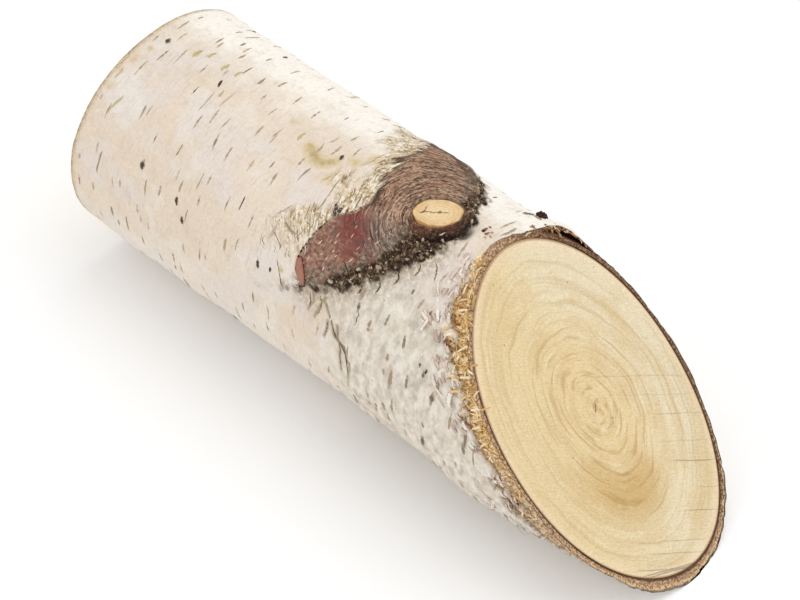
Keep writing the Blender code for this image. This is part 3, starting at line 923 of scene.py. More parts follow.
def crumbled_bark(f, colour, hollow):
    """Ash first, and then black crumbs with pale ones between them, and painted shade where the skin sinks.
    """
    ash = f.ramp(
        f.noise(1.3, 8.1, 4, 0.7), (0.38, (60, 50, 42)), (0.48, (108, 94, 79)), (0.60, (160, 147, 128))
    )
    colour = f.mix(f.attribute("ashen") * f.step(f.noise(2.4, 5.1, 4, 0.7), 0.38, 0.52) * 0.9, colour, ash)
    crumb_colour = f.ramp(
        f.noise(1.5, 2.8, 4, 0.75), (0.42, (46, 34, 25)), (0.52, (84, 65, 48)), (0.60, (140, 118, 92)),
        (0.70, (204, 188, 160)),
    )
    # Painted shade: nearly black where the skin sinks between the crumbs.
    crumb_colour = f.mix(f.step(hollow, 0.2, 0.7) * 0.8, crumb_colour, (26, 20, 17))
    return f.mix(f.attribute("crumbs"), colour, crumb_colour)


# %% The torn inner bark and the sawn rims
def torn_bark(f, z, hollow):
    """Golden inner bark with orange-brown shreds, greyer and pinker near the ground, and painted shade in its
    hollows.
    """
    gold = f.ramp(
        f.noise((1.3, 0.8, 0.8), 5.9, 4, 0.7), (0.38, (126, 82, 42)), (0.48, (192, 146, 86)),
        (0.60, (238, 214, 164)),
    )
    worn = f.ramp(
        f.noise(1.3, 0.7, 4, 0.75), (0.40, (116, 90, 66)), (0.48, (180, 150, 118)), (0.56, (220, 198, 170)),
        (0.68, (238, 226, 206)),
    )
    colour = f.mix(f.step(z + (f.noise(8, 3.1, 3) - 0.5) * 30.0, 56.0, 38.0) * 0.85, gold, worn)
    # Painted shade: darker orange-brown where the torn skin is sunk.
    return f.mix(f.step(hollow, 0.3, 0.9) * 0.45, colour, (116, 78, 42))


def sawn_rim(f, y, z, hollow, grain):
    """Granular brown inner bark, dark where it meets the wood, red-brown on the far side, painted shade in
    the gap.
    """
    across = f.attribute("across")
    rim = f.ramp(grain, (0.38, (122, 88, 62)), (0.50, (172, 136, 104)), (0.62, (216, 188, 154)))
    far_side = f.step(y + (z - 50.0) * 0.15, 2.0, 26.0)
    far_rim = f.ramp(grain, (0.38, (64, 40, 30)), (0.52, (116, 82, 58)), (0.66, (178, 142, 108)))
    rim = f.mix(far_side * 0.85, rim, far_rim)
    bottom = f.step(z, 40.0, 16.0) * f.step(across + (f.noise(2.0, 4.4, 3) - 0.5) * 0.6, 0.55, 0.30)
    rim = f.mix(bottom * f.step(grain, 0.40, 0.50), rim, (224, 190, 146))
    inmost = f.step(across + (f.noise(1.5, 8.4, 3) - 0.5) * 0.3, 0.74, 0.92) * 0.85
    rim = f.mix(inmost * f.step(z, 82.0, 66.0), rim, (84, 58, 40))
    # Painted shade: nearly black in the gap under the lifted bark.
    return f.mix(f.step(hollow, 0.2, 0.7), rim, (50, 22, 15))


# %% All of it, laid over each other
def dress_bark(f):
    """White paper, then each mark over it, and one height for the bump."""
    x, y, z = f.split()
    hollow, crumb, on_scar = f.attribute("hollow"), f.attribute("crumbs"), f.attribute("scar")
    bare, cut, wing = f.attribute("torn"), f.attribute("cut"), f.attribute("wing")
    from_x, from_y, from_z = x - STUB_X / MM, y - STUB_Y / MM, z - STUB_Z / MM
    distance = (from_x**2.0 + from_y**2.0 + from_z**2.0 + 0.01) ** 0.5

    def arcs(fine, spread, shift):
        """Noise stretched round the branch: fine millimetres across, and about spread to a turn."""
        place_on_arc = f.join(distance / fine, from_x / distance * spread + shift, from_y / distance * spread)
        return f.noise_at(place_on_arc, 3.0, 0.6)

    grain, fine, grit = f.noise(0.7, 3.9, 3, 0.7), f.noise(1.3, 1.9, 4, 0.7), f.noise(0.45, 9.1, 2)
    colour, dashes = white_paper(f, x, y, z)
    colour = stained_paper(f, wrinkled_paper(f, grey_scales(f, colour), arcs))
    # Painted shade: the white bark is darkened where the skin is sunk.
    colour = f.mix(f.step(hollow, 0.45, 0.95) * 0.25, colour, (120, 104, 88))
    end_colour = f.ramp(fine, (0.40, (138, 106, 62)), (0.62, (206, 178, 128)))
    colour = f.mix(f.attribute("worn_end"), colour, end_colour)
    colour = f.mix(on_scar, colour, aged_bark(f, arcs, hollow, distance))
    colour = crumbled_bark(f, colour, hollow)
    colour = f.mix(bare, colour, torn_bark(f, z, hollow))
    # Painted shade: near-black in the pit and the hollow beside the branch.
    colour = f.mix(f.attribute("pit"), colour, (30, 18, 13))
    colour = f.mix(cut, colour, sawn_rim(f, y, z, hollow, grain))
    f.feed("Base Color", f.times(colour, 0.76 + fine * 0.34 + grit * 0.14))
    f.feed("Roughness", 0.84 - wing * on_scar * (1 - crumb) * 0.34 + grit * 0.06)
    paper_grain = fine * 0.16 + grit * 0.06 + f.step(dashes, 0.60, 0.72) * 0.06
    coarse_grain = grain * 0.28 + f.noise(2.2, 5.7, 4, 0.7) * 0.5
    f.bump(paper_grain + coarse_grain * (crumb + bare * 0.8 + cut * 0.6 + f.attribute("wrinkled") * 0.6))


dress_bark(bark_finish)

# %% [markdown]
# ## The bark as one closed surface
#
# The bark is a sleeve, so its surface closes both ways, like a ring doughnut: along the outside from
# the square cut to the slanting one, over the sawn rim, back inside against the wood, and over the
# other rim. The points lie closest where the camera sees most: round the knot and at the slant.

# %% The angles and shares at which the points lie
FINE_FROM, FINE_TO, FINE_STEP, COARSE_STEP = -64.0, 150.0, 0.76, 1.6
ROWS_BEFORE_KNOT, ROWS_PAST_KNOT, KNOT_SHARE = 88, 144, 0.50
RIM_ROWS, WALL_ROWS, SQUARE_RIM_ROWS = 14, 5, 5

fine_angles = np.arange(FINE_FROM, FINE_TO, FINE_STEP)
rest = 360 - (FINE_TO - FINE_FROM)
coarse_angles = FINE_TO + np.linspace(0, rest, round(rest / COARSE_STEP), endpoint=False)
angles = np.concatenate([fine_angles, coarse_angles])
shares = np.concatenate([
    np.linspace(0, KNOT_SHARE, ROWS_BEFORE_KNOT, endpoint=False),
    np.linspace(KNOT_SHARE, 1, ROWS_PAST_KNOT),
])
print(len(angles), "points round,", len(shares), "rings along")


def between_cuts(radius_of, share, angle, passes=3):
    """x and radius at this share of the way between the cuts. They depend on each other, so it repeats."""
    x = SQUARE_END_X + (SLANT_X - SQUARE_END_X) * share + 0 * angle
    for _ in range(passes):
        radius = radius_of(x, angle)
        start = square_rim_x(radius, angle)
        x = start + (slant_rim_x(radius, angle) - start) * share
    return x, radius_of(x, angle)


def seat_radius(x, angle):
    """The inside of the bark, just clear of the wood."""
    return wood_radius(x, angle) + SEAT_GAP


# %% The outside, the rims and the inside
def bark_rim(outer, inner, angle, share):
    """The slanting rim, from the outside to the wood, with grains and the dark gap sunk into it.

    Gives x, the radius, and how deep in the gap each point is, from 0 to 1.
    """
    radius = outer + (inner - outer) * share
    grains = 0.35 * MM * (rough(share * 3 * MM, angle, 1.2 * MM, 240, 91, 3) + 0.6)
    taper = np.cos(np.radians(np.clip(turned(angle, FLAP_ANGLE) / FLAP_SPREAD * 90, -90, 90)))
    middle = inner + FLAP_GAP_ABOVE_WOOD + FLAP_GAP * taper / 2
    half_gap = FLAP_GAP / 2 * np.maximum(taper, 0.05)
    gap = smooth_step(1.5 - np.abs(radius - middle) / half_gap) * (taper > 0.05)
    worn = 0.8 * MM * bell(share / 0.10)
    return slant_rim_x(radius, angle) - grains - worn - FLAP_GAP_DEPTH * gap, radius, gap


share_grid, angle_grid = grid_of(shares, angles)
outer_x, outer_radius = between_cuts(skin_radius, share_grid, angle_grid)
wall_share, wall_angle = grid_of(np.linspace(1, 0, WALL_ROWS), angles)
wall_x, wall_radius = between_cuts(seat_radius, wall_share, wall_angle)
rim_share, rim_angle = grid_of(np.arange(1, RIM_ROWS) / RIM_ROWS, angles)
rim_x, rim_radius, rim_gap = bark_rim(outer_radius[-1], wall_radius[0], rim_angle, rim_share)
end_share, end_angle = grid_of(np.arange(1, SQUARE_RIM_ROWS) / SQUARE_RIM_ROWS, angles)
end_radius = wall_radius[-1] + (outer_radius[0] - wall_radius[-1]) * end_share
end_x = square_rim_x(end_radius, end_angle) + 0.25 * MM * noise(end_radius, end_angle, 0.8 * MM, 300, 95)

bark_points = np.concatenate([
    place(outer_x, angle_grid, outer_radius),
    place(rim_x, rim_angle, rim_radius),
    place(wall_x, wall_angle, wall_radius),
    place(end_x, end_angle, end_radius),
])

# %% [markdown]
# ## What each point of the bark is
#
# The rules for the marks are worked out once for every point and stored on the mesh. A stain is a sum
# of bells, and a hollow is where the skin lies deeper than its neighbours do on average: the finishes
# paint shade there.

# %% Stains: x and angle of the middle, and size, in millimetres and degrees
STAINS = (
    (-59.9, 2.6, 2.6), (-52.5, 7.7, 1.6), (-46.9, 8.8, 3.2), (-43.0, 11.5, 3.6), (-38.0, 13.5, 3.4),
    (-34.5, 8.0, 3.4), (-31.0, 17.5, 2.6), (-29.0, 3.0, 3.0), (-25.0, -4.0, 3.4), (-22.0, -13.0, 3.2),
    (-110.9, 0.9, 2.0), (-106.5, -1.0, 1.8), (-97.6, -0.9, 1.8), (-91.1, -1.2, 1.2), (-127.9, 20.5, 2.6),
    (-129.3, 29.1, 3.2), (-128.5, 38.0, 2.6), (-126.0, 12.0, 2.2), (9.5, 96.0, 2.2), (-26.5, 62.0, 1.6),
    (-80.0, 120.0, 4.0), (-40.0, -110.0, 4.5), (30.0, 175.0, 5.0), (-105.0, -140.0, 4.0),
)


def stained(x, angle):
    """1 at the middle of each stain: a bell of the distance from it over the bark."""
    total = 0.0
    for stain_x, stain_angle, size in STAINS:
        round_log = np.radians(turned(angle, stain_angle)) * RADIUS_AT_SLANT
        total = total + bell(np.hypot(x - stain_x * MM, round_log) / (size * MM))
    return np.clip(total, 0, 1.2)


def blurred(values):
    """A grid in which each value is the mean of its neighbourhood, a few steps each way."""
    for _ in range(3):
        values = (values + np.roll(values, 1, 1) + np.roll(values, -1, 1)) / 3
        values = np.concatenate([values[:1], (values[1:-1] + values[2:] + values[:-2]) / 3, values[-1:]])
    return values


# %% What each point of the bark is, for the finish to read
outer_y = AXIS_Y - RADIUS_AT_SLANT * np.sin(np.radians(angle_grid))
# hollow: how much deeper the skin lies than its neighbourhood, where the finishes paint shade.
sunk = np.clip((blurred(outer_radius) - outer_radius) / (0.22 * MM), 0, 1)
side_grid = turned(angle_grid, 0)
near_branch = smooth_step((28 * MM - stub_distance(outer_x, angle_grid)) / (10 * MM))
ahead = smooth_step(patch_across(outer_x, angle_grid) / 0.3 + 0.5)
border_width = 0.12 + 0.28 * smooth_step((-4 - side_grid) / 12) * ahead
rules = (scar, crumbs, ashen, torn, wrinkled, weathered, furrow, dusty)
outside = {rule.__name__: rule(outer_x, angle_grid) for rule in rules}
outside |= {
    "border": bell((scar_inside(outer_x, angle_grid) - 0.04) / border_width),
    "stain": stained(outer_x, angle_grid),
    "wing": smooth_step((side_grid - 15) / 10),
    "near_branch": near_branch,
    "hollow": sunk,
    "pit": crevice(outer_x, outer_y),
    "worn_end": 0.8 * bell((outer_x - square_rim_x(RADIUS_AT_SQUARE_END, angle_grid)) / (1.3 * MM)),
    "cut": 0 * outer_x,
    "across": 0 * outer_x,
}
behind_rows = {
    "cut": [0 * rim_x + 1, 0 * wall_x + 1, 0 * end_x + 1],
    "across": [rim_share, 0 * wall_x + 1, 1 - end_share],
    "hollow": [rim_gap, 0 * wall_x, 0 * end_x],
}
nothing = [0 * rim_x, 0 * wall_x, 0 * end_x]
bark_values = {
    key: np.concatenate([values, *behind_rows.get(key, nothing)]).ravel() for key, values in outside.items()
}
bark = grid_object("birch_bark", bark_points, bark_finish, bark_values, ring=True)
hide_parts("bark")

# %% [markdown]
# ## The sawn wood
#
# Birch wood is nearly white, with faint rings. The rings are cylinders about the pith, so a slanting cut
# shows them as long ovals with no extra work: the pattern is the distance from the pith line. Over it
# come fine saw marks, a few dark lines where the blade snagged, an ochre stain and the pith's crack.

# %% Where the saw went over the slanting face, in millimetres
PITH_Y, PITH_Z = -0.2, 46.3
SLANT_NORMAL = Vector((1.0, -SLANT_PER_Y, -SLANT_PER_Z)).normalized()
SAW_RUN = Vector((15.4, 38.5, -17.6)).normalized()
LAST_RUN = Vector((6.5, 25.0, -8.2)).normalized()
SNAGS = (
    ((74.8, 2.1, 53.6), 0.30), ((92.7, 18.0, 35.7), 0.35), ((105.7, 14.9, 23.9), 0.75),
    ((115.1, 18.1, 15.0), 0.45), ((117.9, 7.8, 13.3), 0.6), ((120.1, -8.3, 12.6), 0.45),
    ((122.0, -24.2, 12.2), 0.9), ((121.2, -16.0, 13.4), 0.5), ((83.0, 8.0, 46.0), 0.25),
    ((98.0, 12.0, 30.0), 0.25),
)
LAST_SNAGS = (((124.5, -22.7, 9.8), 1.5), ((125.2, -22.0, 9.0), 1.2), ((126.4, -17.0, 7.6), 0.8))
print("the saw ran along", [round(v, 3) for v in SAW_RUN])

# %% Wood
wood_finish = Finish("sawn_birch", roughness=0.72, specular=0.25)


def dot(wires, direction):
    """The sum of three wires, each times a number."""
    return wires[0] * direction[0] + wires[1] * direction[1] + wires[2] * direction[2]


def ring_tones(f, y, z):
    """Tan about the pith, cream outside, yellow on the near side and grey-cream on the far one.

    The rings are noise along the distance from the pith. It changes slowly round the pith, so that
    rings fade in and out as they do in the photo's wood.
    """
    from_y, from_z = y - PITH_Y, z - PITH_Z
    straight = (from_y**2.0 + from_z**2.0 + 0.01) ** 0.5
    from_pith = straight + (f.noise(28, 1.4, 2) - 0.5) * 6.0 + (f.noise(10, 6.2, 2) - 0.5) * 0.8

    def rings(width, spread, shift):
        """Noise on rings this many millimetres wide, which changes about spread times in a turn."""
        to_side, up = from_y / straight * spread + shift, from_z / straight * spread
        return f.noise_at(f.join(from_pith / width, to_side, up), 2.0, 0.55)

    wood = f.mix(f.step(from_pith, 10.0, 34.0), (228, 204, 156), (231, 215, 180))
    wood = f.mix(f.step(y - z * 0.25, 0.0, -34.0) * 0.75, wood, (227, 204, 155))
    wood = f.mix(f.step(y + z * 0.3, 18.0, 46.0) * 0.7, wood, (227, 213, 182))
    inner = f.step(from_pith, 34.0, 14.0)
    late = f.step(rings(1.25, 0.9, 2.0), 0.52, 0.66)
    wood = f.mix(f.step(rings(5.5, 1.0, 5.0), 0.46, 0.62) * 0.42, wood, (212, 184, 134))
    wood = f.mix(late * (0.26 + inner * 0.28), wood, (186, 150, 98))
    wood = f.mix(f.step(rings(0.9, 0.9, 9.0), 0.56, 0.70) * (0.20 + inner * 0.20), wood, (243, 232, 205))
    wood = f.mix(f.step(rings(0.45, 0.7, 14.0), 0.58, 0.72) * 0.24, wood, (180, 144, 94))
    return wood, from_pith, late


def snag_lines(f, place_mm, run, snags):
    """Thin dark lines along the saw's run, each from its own start to the edge."""
    step = SLANT_NORMAL.cross(run)
    along, step_by = dot(place_mm, run), dot(place_mm, step)
    total = 0.0
    for corner, strength in snags:
        start, level = Vector(corner).dot(run), Vector(corner).dot(step)
        wobble = (f.noise(9, level * 0.1, 2) - 0.5) * 1.1
        line = f.step(abs(step_by - level + wobble), 0.30, 0.05)
        total = line * f.step(along - start, -3.0, 6.0) * strength + total
    return total, along, step_by


def dress_wood(f):
    """Rings about the pith, then stains, saw marks and snags."""
    x, y, z = f.split()
    wood, from_pith, late = ring_tones(f, y, z)
    below = ((y - PITH_Y) * -0.37 + (z - PITH_Z) * -0.93) / from_pith
    ochre = f.step(abs(from_pith - 21.5), 10.0, 1.0) * f.step(below, 0.50, 1.0)
    ochre = ochre * f.step(f.noise(11, 2.9, 3), 0.26, 0.50)
    wood = f.mix(ochre * 0.75, wood, (202, 166, 102))
    wood = f.mix(ochre * late * 0.35, wood, (172, 132, 74))
    wood = f.mix(f.step(f.noise(12, 5.1, 4), 0.50, 0.68) * 0.40, wood, (218, 190, 140))
    snagged, along, step_by = snag_lines(f, (x, y, z), SAW_RUN, SNAGS)
    snagged = snagged + snag_lines(f, (x, y, z), LAST_RUN, LAST_SNAGS)[0]
    sawn = f.noise_at(f.join(along / 22.0, step_by / 0.5, 0.0), 3.0, 0.6)
    wood = f.mix(f.step(sawn, 0.54, 0.76) * 0.20, wood, (176, 150, 112))
    chatter = f.noise_at(f.join(along / 2.6, step_by / 0.4, 7.0), 3.0, 0.65)
    wood = f.mix(snagged * 0.7, wood, (118, 106, 88))
    aside = y - PITH_Y - (z - PITH_Z) * 1.2 + (f.noise(1.4, 3.7, 3) - 0.5) * 1.4
    crack = f.step(abs(aside), 0.42, 0.10) * f.step(abs(z - PITH_Z), 1.5, 0.6)
    centre = f.step(((y - PITH_Y) ** 2.0 + (z - PITH_Z) ** 2.0) ** 0.5, 1.8, 0.5) * f.noise(0.8, 3.0, 3)
    wood = f.mix(crack * 0.7 + centre * 0.5, wood, (122, 90, 54))
    pores = f.noise(0.8, 4.1, 4, 0.75)
    dots = f.step(f.spots(4.2, 1.7), 0.09, 0.04) * f.step(f.noise(12, 8.5), 0.50, 0.58)
    wood = f.mix(dots * 0.8, wood, (104, 84, 60))
    edge = f.attribute("edge")
    wood = f.mix(f.step(edge, 0.93, 0.97) * 0.45, wood, (240, 216, 182))
    wood = f.mix(f.step(edge, 0.985, 0.998) * 0.7, wood, (150, 106, 66))
    f.feed("Base Color", f.times(wood, 0.45 + pores * 0.64 + chatter * 0.46))
    f.feed("Roughness", 0.66 + pores * 0.16)
    f.bump(late * -0.03 + sawn * 0.09 + pores * 0.06 + chatter * 0.07 + snagged * -0.12)


dress_wood(wood_finish)

# %% [markdown]
# ## The wood as one closed surface
#
# A sawn face, the side and the other sawn face are rows of one grid. They could be three pieces, but
# then their edges would show a seam. The edge is rounded off by a fifth of a millimetre, because no
# sawn edge is perfectly sharp, and a sharp one would catch no light.

# %% The wood
FACE_COLUMNS, FACE_ROWS, SIDE_ROWS, ROUNDED = 300, 64, 6, 0.2 * MM
wood_angles = np.linspace(0, 360, FACE_COLUMNS, endpoint=False)


def sawn_face(plane_x, share, angle, inwards):
    """A flat face from its middle, share 0, to its rim, share 1, with the edge rounded off a little."""
    edge = wood_radius(plane_x(RADIUS_AT_SLANT, angle), angle)
    edge = wood_radius(plane_x(edge, angle), angle)
    radius = wood_radius(plane_x(edge, angle), angle) * share
    return plane_x(radius, angle) + inwards * ROUNDED * smooth_step((share - 0.985) / 0.015), radius


face_shares = np.concatenate([np.linspace(0.004, 0.985, FACE_ROWS), [0.993, 0.998, 1.0]])
face_share, face_angle = grid_of(face_shares, wood_angles)
slant_x, slant_radius = sawn_face(slant_rim_x, face_share, face_angle, -1)
square_x, square_radius = sawn_face(square_rim_x, face_share[::-1], face_angle, 1)
side_share, side_angle = grid_of(np.linspace(1, 0, SIDE_ROWS + 2)[1:-1], wood_angles)
side_x, side_radius = between_cuts(wood_radius, side_share, side_angle)
wood_points = np.concatenate([
    place(slant_x, face_angle, slant_radius),
    place(side_x, side_angle, side_radius),
    place(square_x, face_angle, square_radius),
])
wood_edge = np.concatenate([face_share, 0 * side_share + 1, face_share[::-1]])
wood = grid_object("sawn_wood", wood_points, wood_finish, {"edge": wood_edge.ravel()}, sharp=50)
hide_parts("wood")

# %% [markdown]
# ## The branch
#
# The branch was sawn off level. Its face is a long oval of ochre wood with a crack across it, and bark
# stands round it as a collar. The collar is a closed ring: a profile that leaves the skin, climbs to the
# lip and goes down inside, carried round the oval.

# %% Height of the skin in plan, and the oval
def skin_height(x, y):
    """z of the bark straight above x, y: the angle is found from y and the radius, a few times over."""
    angle = np.degrees(np.arcsin(np.clip((AXIS_Y - y) / RADIUS_AT_SLANT, -1, 1)))
    for _ in range(4):
        radius = skin_radius(x, angle)
        angle = np.degrees(np.arcsin(np.clip((AXIS_Y - y) / radius, -1, 1)))
    return axis_height(x) + radius * np.cos(np.radians(angle))


def oval_point(turn, grow):
    """Plan of the oval at this turn, in radians, moved out by grow. Gives x and y."""
    long, short = (STUB_LONG / 2 + grow) * np.cos(turn), (STUB_SHORT / 2 + grow) * np.sin(turn)
    x = STUB_X + long * math.cos(STUB_TURN) - short * math.sin(STUB_TURN)
    return x, STUB_Y + long * math.sin(STUB_TURN) + short * math.cos(STUB_TURN)


# %% Finish of the branch's face
stub_finish = Finish("branch_wood", roughness=0.7)
CRACK_HALF_LENGTH, HOOK_ALONG, KNOT_ALONG = 5.6, -5.4, 0.6


def dress_stub(f):
    """Ovals about the middle, an orange edge, and a dark crack with a hook and a tiny knot."""
    x, y, _ = f.split()
    along, aside = along_oval(x - STUB_X / MM, y - STUB_Y / MM)
    out = ((along / (STUB_LONG / 2 / MM)) ** 2.0 + (aside / (STUB_SHORT / 2 / MM)) ** 2.0) ** 0.5
    out = out + (f.noise(3, 2.2, 3) - 0.5) * 0.22
    rings = (out * 6.0).math("FRACT", out * 6.0)
    wood = f.mix(f.step(out, 0.25, 0.95), (229, 204, 160), (218, 184, 134))
    wood = f.mix(f.step(rings, 0.5, 0.95) * f.step(rings, 1.0, 0.94) * 0.30, wood, (186, 146, 96))
    wood = f.mix(f.step(f.noise(1.6, 3.7, 4), 0.5, 0.7) * 0.4, wood, (240, 220, 182))
    wander = (f.noise(4.2, 5.2, 3, 0.6) - 0.5) * 3.8
    crack = f.step(abs(aside + wander - 0.2), 0.34, 0.06) * f.step(abs(along + 1.4), CRACK_HALF_LENGTH, 4.4)
    hooked = abs(along - HOOK_ALONG + wander * 0.8 - aside * 0.4)
    hook = f.step(hooked, 0.34, 0.08) * f.step(abs(aside - 1.4), 2.0, 1.0)
    knot = f.step(((along - KNOT_ALONG) ** 2.0 + (aside + wander) ** 2.0) ** 0.5, 1.2, 0.4)
    wood = f.mix((crack + hook) * 0.8, wood, (112, 82, 48))
    wood = f.mix(knot * 0.8, wood, (132, 94, 54))
    wood = f.mix(f.step(out, 0.90, 1.02) * 0.8, wood, (160, 108, 64))
    grain = f.noise(0.5, 6.4, 3)
    f.feed("Base Color", f.times(wood, 0.86 + grain * 0.28))
    f.bump((crack + hook) * -0.25 + grain * 0.10 + rings * 0.03)


dress_stub(stub_finish)

# %% The branch's wood
STUB_COLUMNS, STUB_FACE_ROWS = 160, 36


def stub_surface():
    """A level oval face, dished a little and worn at its edge, with a wall that goes down into the bark."""
    shares = np.concatenate([np.linspace(0.02, 0.95, STUB_FACE_ROWS), [0.98, 1.0, 1.0, 1.0, 0.99, 0.96]])
    drops = np.concatenate([np.zeros(STUB_FACE_ROWS), [0.1, 0.35, 1.0, 2.0, 4.0, 7.0]]) * MM
    share, turn = grid_of(shares, round_turns(STUB_COLUMNS))
    wobble = 1 + 0.020 * np.sin(3 * turn + 1.0) + 0.016 * np.sin(7 * turn)
    x, y = oval_point(turn, 0.0)
    x, y = STUB_X + (x - STUB_X) * share * wobble, STUB_Y + (y - STUB_Y) * share * wobble
    grain = 0.10 * MM * (1 + rough(x, y / MM * 20, 2.5 * MM, 60, 103, 3))
    dish = 0.25 * MM * (1 - smooth_step(share)) + grain
    return np.stack([x, y, STUB_Z - drops[:, None] - dish * (share <= 1)], -1)


grid_object("branch_stub", stub_surface(), stub_finish)

# %% Finish of the collar
collar_finish = Finish("branch_bark", roughness=0.75)


def dress_collar(f):
    """Brown bark with grey lines round the branch, reddish on the near side, and painted black shade where it
    is sunk.
    """
    x, y, _ = f.split()
    hollow, height = f.attribute("hollow"), f.attribute("height")
    collar = f.ramp(
        f.noise(1.2, 2.0, 4, 0.75), (0.40, (52, 36, 28)), (0.50, (104, 76, 60)), (0.60, (150, 118, 94)),
        (0.70, (196, 166, 138)),
    )
    reddish = f.step(y - x * 0.3, -4.0, -14.0) * f.step(f.noise(2, 7.0, 3), 0.46, 0.58)
    collar = f.mix(reddish * 0.75, collar, (112, 58, 42))
    lines = f.noise((3, 3, 0.45), 0.0, 3)
    collar = f.mix(f.step(lines, 0.5, 0.62) * 0.7, collar, (56, 40, 32))
    collar = f.mix(f.step(height, 0.84, 1.0) * 0.5, collar, (176, 132, 90))
    # Painted shade: black in the crevice round the branch.
    collar = f.mix(hollow, collar, (30, 19, 14))
    f.feed("Base Color", collar)
    f.bump(lines * 0.25 + f.noise(0.6, 1.0, 3) * 0.2)


dress_collar(collar_finish)

# %% The collar
COLLAR_COLUMNS, COLLAR_ROWS, COLLAR_REACH, COLLAR_LIP = 260, 30, 1.7 * MM, 0.35 * MM


def collar_surface():
    """From under the skin up to the lip with a hollow curve, over it, and down inside the oval."""
    share, turn = grid_of(np.linspace(0, 1, COLLAR_ROWS), round_turns(COLLAR_COLUMNS))
    reach = COLLAR_REACH * (1 + 0.35 * np.sin(2 * turn + 0.5) + 0.15 * np.sin(5 * turn))
    notches = rough(share * 3 * MM, np.degrees(turn), 2 * MM, 44, 115, 3)
    rolled_out = 0.45 * MM * share**2 * (1 + 0.6 * np.sin(5 * turn + 2))
    out = reach * (1 - share) ** 1.2 + rolled_out + 0.35 * MM * notches
    x, y = oval_point(turn, out)
    foot = skin_height(x, y)
    ragged = rough(turn * 8 * MM, np.degrees(turn), 3 * MM, 26, 113, 4)
    step_down = (0.15 + 0.3 * np.sin(turn - 2.2) + 0.9 * ragged) * MM
    lip_z = STUB_Z - COLLAR_LIP - np.maximum(step_down, 0)
    ridges = 0.16 * MM * np.sin(share * 26 + 1.5 * np.sin(3 * turn)) * (1 - share)
    climb = smooth_step(share * 1.02) ** 1.2
    crumbly = 0.55 * MM * rough(share * 8 * MM, np.degrees(turn), 1.5 * MM, 60, 111, 4) * (1 - share**3)
    z = foot + (lip_z - foot) * climb - 0.5 * MM * (1 - share) ** 3 + ridges + crumbly
    outer = np.stack([x, y, np.minimum(z, STUB_Z - 0.2 * MM)], -1)
    x_in, y_in = oval_point(turn[0], -0.2 * MM)
    inner = [np.stack([x_in, y_in, outer[-1, :, 2] - drop], -1) for drop in (0.0, 2 * MM, 5 * MM)]
    below = outer[0] - np.array([0, 0, 3 * MM])
    points = np.concatenate([outer, np.stack([*inner, below])])
    unseen = np.ones((4, COLLAR_COLUMNS))
    hollow = np.concatenate([crevice(x, y) * (1 - share) ** 0.5, unseen])
    return points, {"hollow": hollow.ravel(), "height": np.concatenate([share, unseen]).ravel()}


collar_points, collar_values = collar_surface()
grid_object("branch_collar", collar_points, collar_finish, collar_values, ring=True)

# %% [markdown]
# ## Strands: one maker for all that is long and thin
#
# Lenticels, cracks, crumbs, torn fibres and papery curls are all strips with a flat oval section. One
# function carries that section along many paths at once, and closes both ends. Only the paths, the
# widths and the finish differ from one kind to the next.

# %% Strand maker
def unit(vectors):
    """Vectors made one long."""
    return vectors / np.maximum(np.linalg.norm(vectors, axis=-1, keepdims=True), 1e-12)


def strands(name, paths, across, half_width, half_thickness, finish, shade, sides=6):
    """Closed strips: each path, strips by points by xyz, carries an oval half_width by half_thickness.

    across is the direction of the width. shade is one number a strip, which its finish reads. core is
    1 on top of the widest place and 0 along the sides and at thin ends. A strip that would leave the
    log's box is left out.
    """
    within = ((paths > LOW + 0.02 * MM) & (paths < HIGH - 0.02 * MM)).all((1, 2))
    whole = paths.shape[:2]
    across, shade = np.broadcast_to(across, paths.shape)[within], np.broadcast_to(shade, whole[0])[within]
    half_width, half_thickness = (np.broadcast_to(h, whole)[within] for h in (half_width, half_thickness))
    paths = paths[within]
    along = unit(np.gradient(paths, axis=1))
    across = unit(across - along * np.sum(across * along, -1, keepdims=True))
    over = np.cross(along, across)
    turn = round_turns(sides)[:, None]
    wide = np.cos(turn) * (across * half_width[..., None])[:, :, None]
    thick = np.sin(turn) * (over * half_thickness[..., None])[:, :, None]
    points = paths[:, :, None] + wide + thick
    count, steps = paths.shape[:2]
    first = np.arange(count)[:, None, None] * steps * sides
    side_faces = (first + grid_faces(steps, sides, False, True)).reshape(-1, 4)
    cap_faces = (first + end_cap_faces(steps, sides)).reshape(-1, sides)
    fullness = half_width / half_width.max(axis=1, keepdims=True)
    core = np.maximum(np.sin(turn[:, 0]), 0) * fullness[..., None]
    values = {"shade": np.repeat(shade, steps * sides), "core": core.ravel()}
    return mesh_object(name, points, [side_faces, cap_faces], finish, values)


def shaded_finish(name, roughness, light, middle, dark, speck, grain_height=0.10, side=None):
    """A finish for strands: light to dark by the strand's own shade, with specks and a fine grain.

    With a side colour, the strand fades to it along its edges, as a stain does into bark.
    """
    f = Finish(name, roughness, specular=0.15)
    colour = f.ramp(f.attribute("shade"), (0.0, light), (0.5, middle), (1.0, dark))
    colour = f.mix(f.step(f.noise(0.8, 3.0, 3), 0.50, 0.68) * 0.5, colour, speck)
    if side is not None:
        colour = f.mix(f.step(f.attribute("core") + f.noise(0.6, 5.0, 2) * 0.4, 0.25, 0.95), side, colour)
    f.feed("Base Color", f.times(colour, 0.82 + f.noise(0.4, 7.0, 2) * 0.36))
    f.bump(f.noise(0.4, 2.0, 2) * grain_height)
    return f


# %% [markdown]
# ## Lenticels
#
# A birch breathes through lenticels: corky slits that run round the trunk. They are scattered with
# one try in each cell of a grid, so that they keep apart without looking laid out. None grow in the
# scar or where the skin is torn. On the old bark of the near side they are wider and greyer.

# %% Lenticels
lenticel_finish = shaded_finish(
    "lenticel_cork", 0.9, (204, 186, 164), (160, 142, 120), (48, 40, 34), (136, 120, 102),
    side=(218, 204, 186),
)
CELL_LENGTH, CELLS_ROUND, LENTICEL_CHANCE, LENTICEL_STEPS = 7.6 * MM, 26, 0.84, 9


